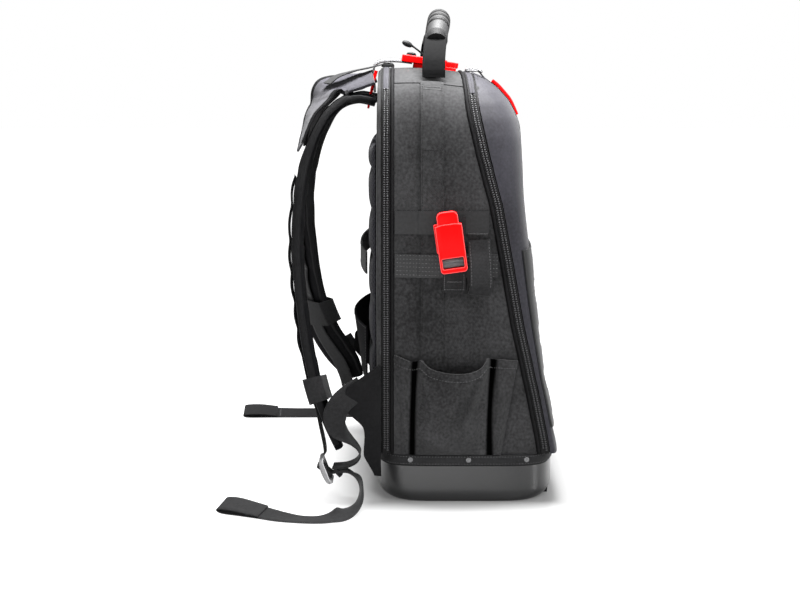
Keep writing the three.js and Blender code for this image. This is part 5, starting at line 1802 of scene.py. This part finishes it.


# A plain floor that glows white away from the pack and fades to a dim grey near it, a painted shade around the
# pack's foot under the lamps' real shadows, and soft studio lights.
def studio():
    mesh = bpy.data.meshes.new("studio_floor")
    mesh.from_pydata([(-9, -9, 0), (9, -9, 0), (9, 9, 0), (-9, 9, 0)], [], [(0, 1, 2, 3)])
    floor = linked("studio_floor", mesh)
    pale = bpy.data.materials.new("floor")
    pale.use_nodes = True
    tree = pale.node_tree
    place = node(tree, "ShaderNodeSeparateXYZ", i0=node(tree, "ShaderNodeTexCoord").outputs["Object"]).outputs
    squares = []
    for axis, half in (("X", 0.165), ("Y", 0.1)):
        beyond = calc(tree, "MAXIMUM", calc(tree, "SUBTRACT", calc(tree, "ABSOLUTE", place[axis]), half), 0.0)
        squares.append(calc(tree, "MULTIPLY", beyond, beyond))
    away = calc(tree, "SQRT", calc(tree, "ADD", *squares))
    # The floor's glow grows away from the pack's outline; the dim apron left near the pack is painted shade.
    floor_glow = node(tree, "ShaderNodeMapRange", {"interpolation_type": "SMOOTHSTEP"}, i0=away, i1=-0.02, i2=0.085)
    shader = tree.nodes["Principled BSDF"]
    shader.inputs["Base Color"].default_value = (0.2, 0.2, 0.2, 1)
    shader.inputs["Roughness"].default_value = 0.3
    shader.inputs["Emission Color"].default_value = (1, 1, 1, 1)
    tree.links.new(floor_glow.outputs[0], shader.inputs["Emission Strength"])
    floor.data.materials.append(pale)
    world = bpy.data.worlds.new("studio")
    world.use_nodes = True
    world.node_tree.nodes["Background"].inputs["Color"].default_value = (1, 1, 1, 1)
    tree = world.node_tree
    seen = tree.nodes.new("ShaderNodeLightPath").outputs["Is Camera Ray"]
    tree.links.new(calc(tree, "MULTIPLY_ADD", seen, 0.55, 0.45), tree.nodes["Background"].inputs["Strength"])
    scene = bpy.context.scene
    scene.world = world
    scene.view_settings.view_transform = "Standard"
    lamps = table("name place aim size power", [
        ("top", (-0.05, 0, 1.02), (-0.05, 0, 0), 0.4, 51),
        ("front", (-0.85, -1.4, 0.6), (-0.1, 0, 0.15), 0.25, 21),
        ("above", (-0.9, -0.35, 1.1), (-0.15, 0, 0.1), 0.3, 8),
        ("back", (-1.09, 0.85, 0.06), (-0.12, 0.05, 0.1), 0.16, 5),
        ("fill", (-0.62, 0.12, 0.08), (-0.18, 0, 0.08), 0.4, 2.2),
    ])
    for lamp in lamps:
        data = bpy.data.lights.new(lamp["name"], "AREA")
        data.size = lamp["size"]
        data.energy = lamp["power"]
        obj = linked(lamp["name"], data)
        obj.location = lamp["place"]
        obj.visible_camera = False
        obj.rotation_euler = (Vector(lamp["aim"]) - obj.location).to_track_quat("-Z", "Y").to_euler()


# The camera of the photo.
def camera():
    data = bpy.data.cameras.new("camera")
    data.lens = 68.7
    data.sensor_width = 36
    view = linked("camera", data)
    view.location = (-1.8, 0.0723, 0.483)
    view.rotation_euler = (math.radians(90 - 8.93), 0, math.radians(-90))
    bpy.context.scene.camera = view


camera()
studio()
base_shell()
base_binding()
gussets()
trims()
front()
back()
side_trims()
side_pocket()
carrying()
shoulders()
lower_straps()
buckles()
ladder_locks()
zip_hardware()
cord_pull()
kept_nodes()
for shape in (stitch_shape, tack_shape, tooth_shape, rivet_shape):
    bpy.data.objects.remove(shape)
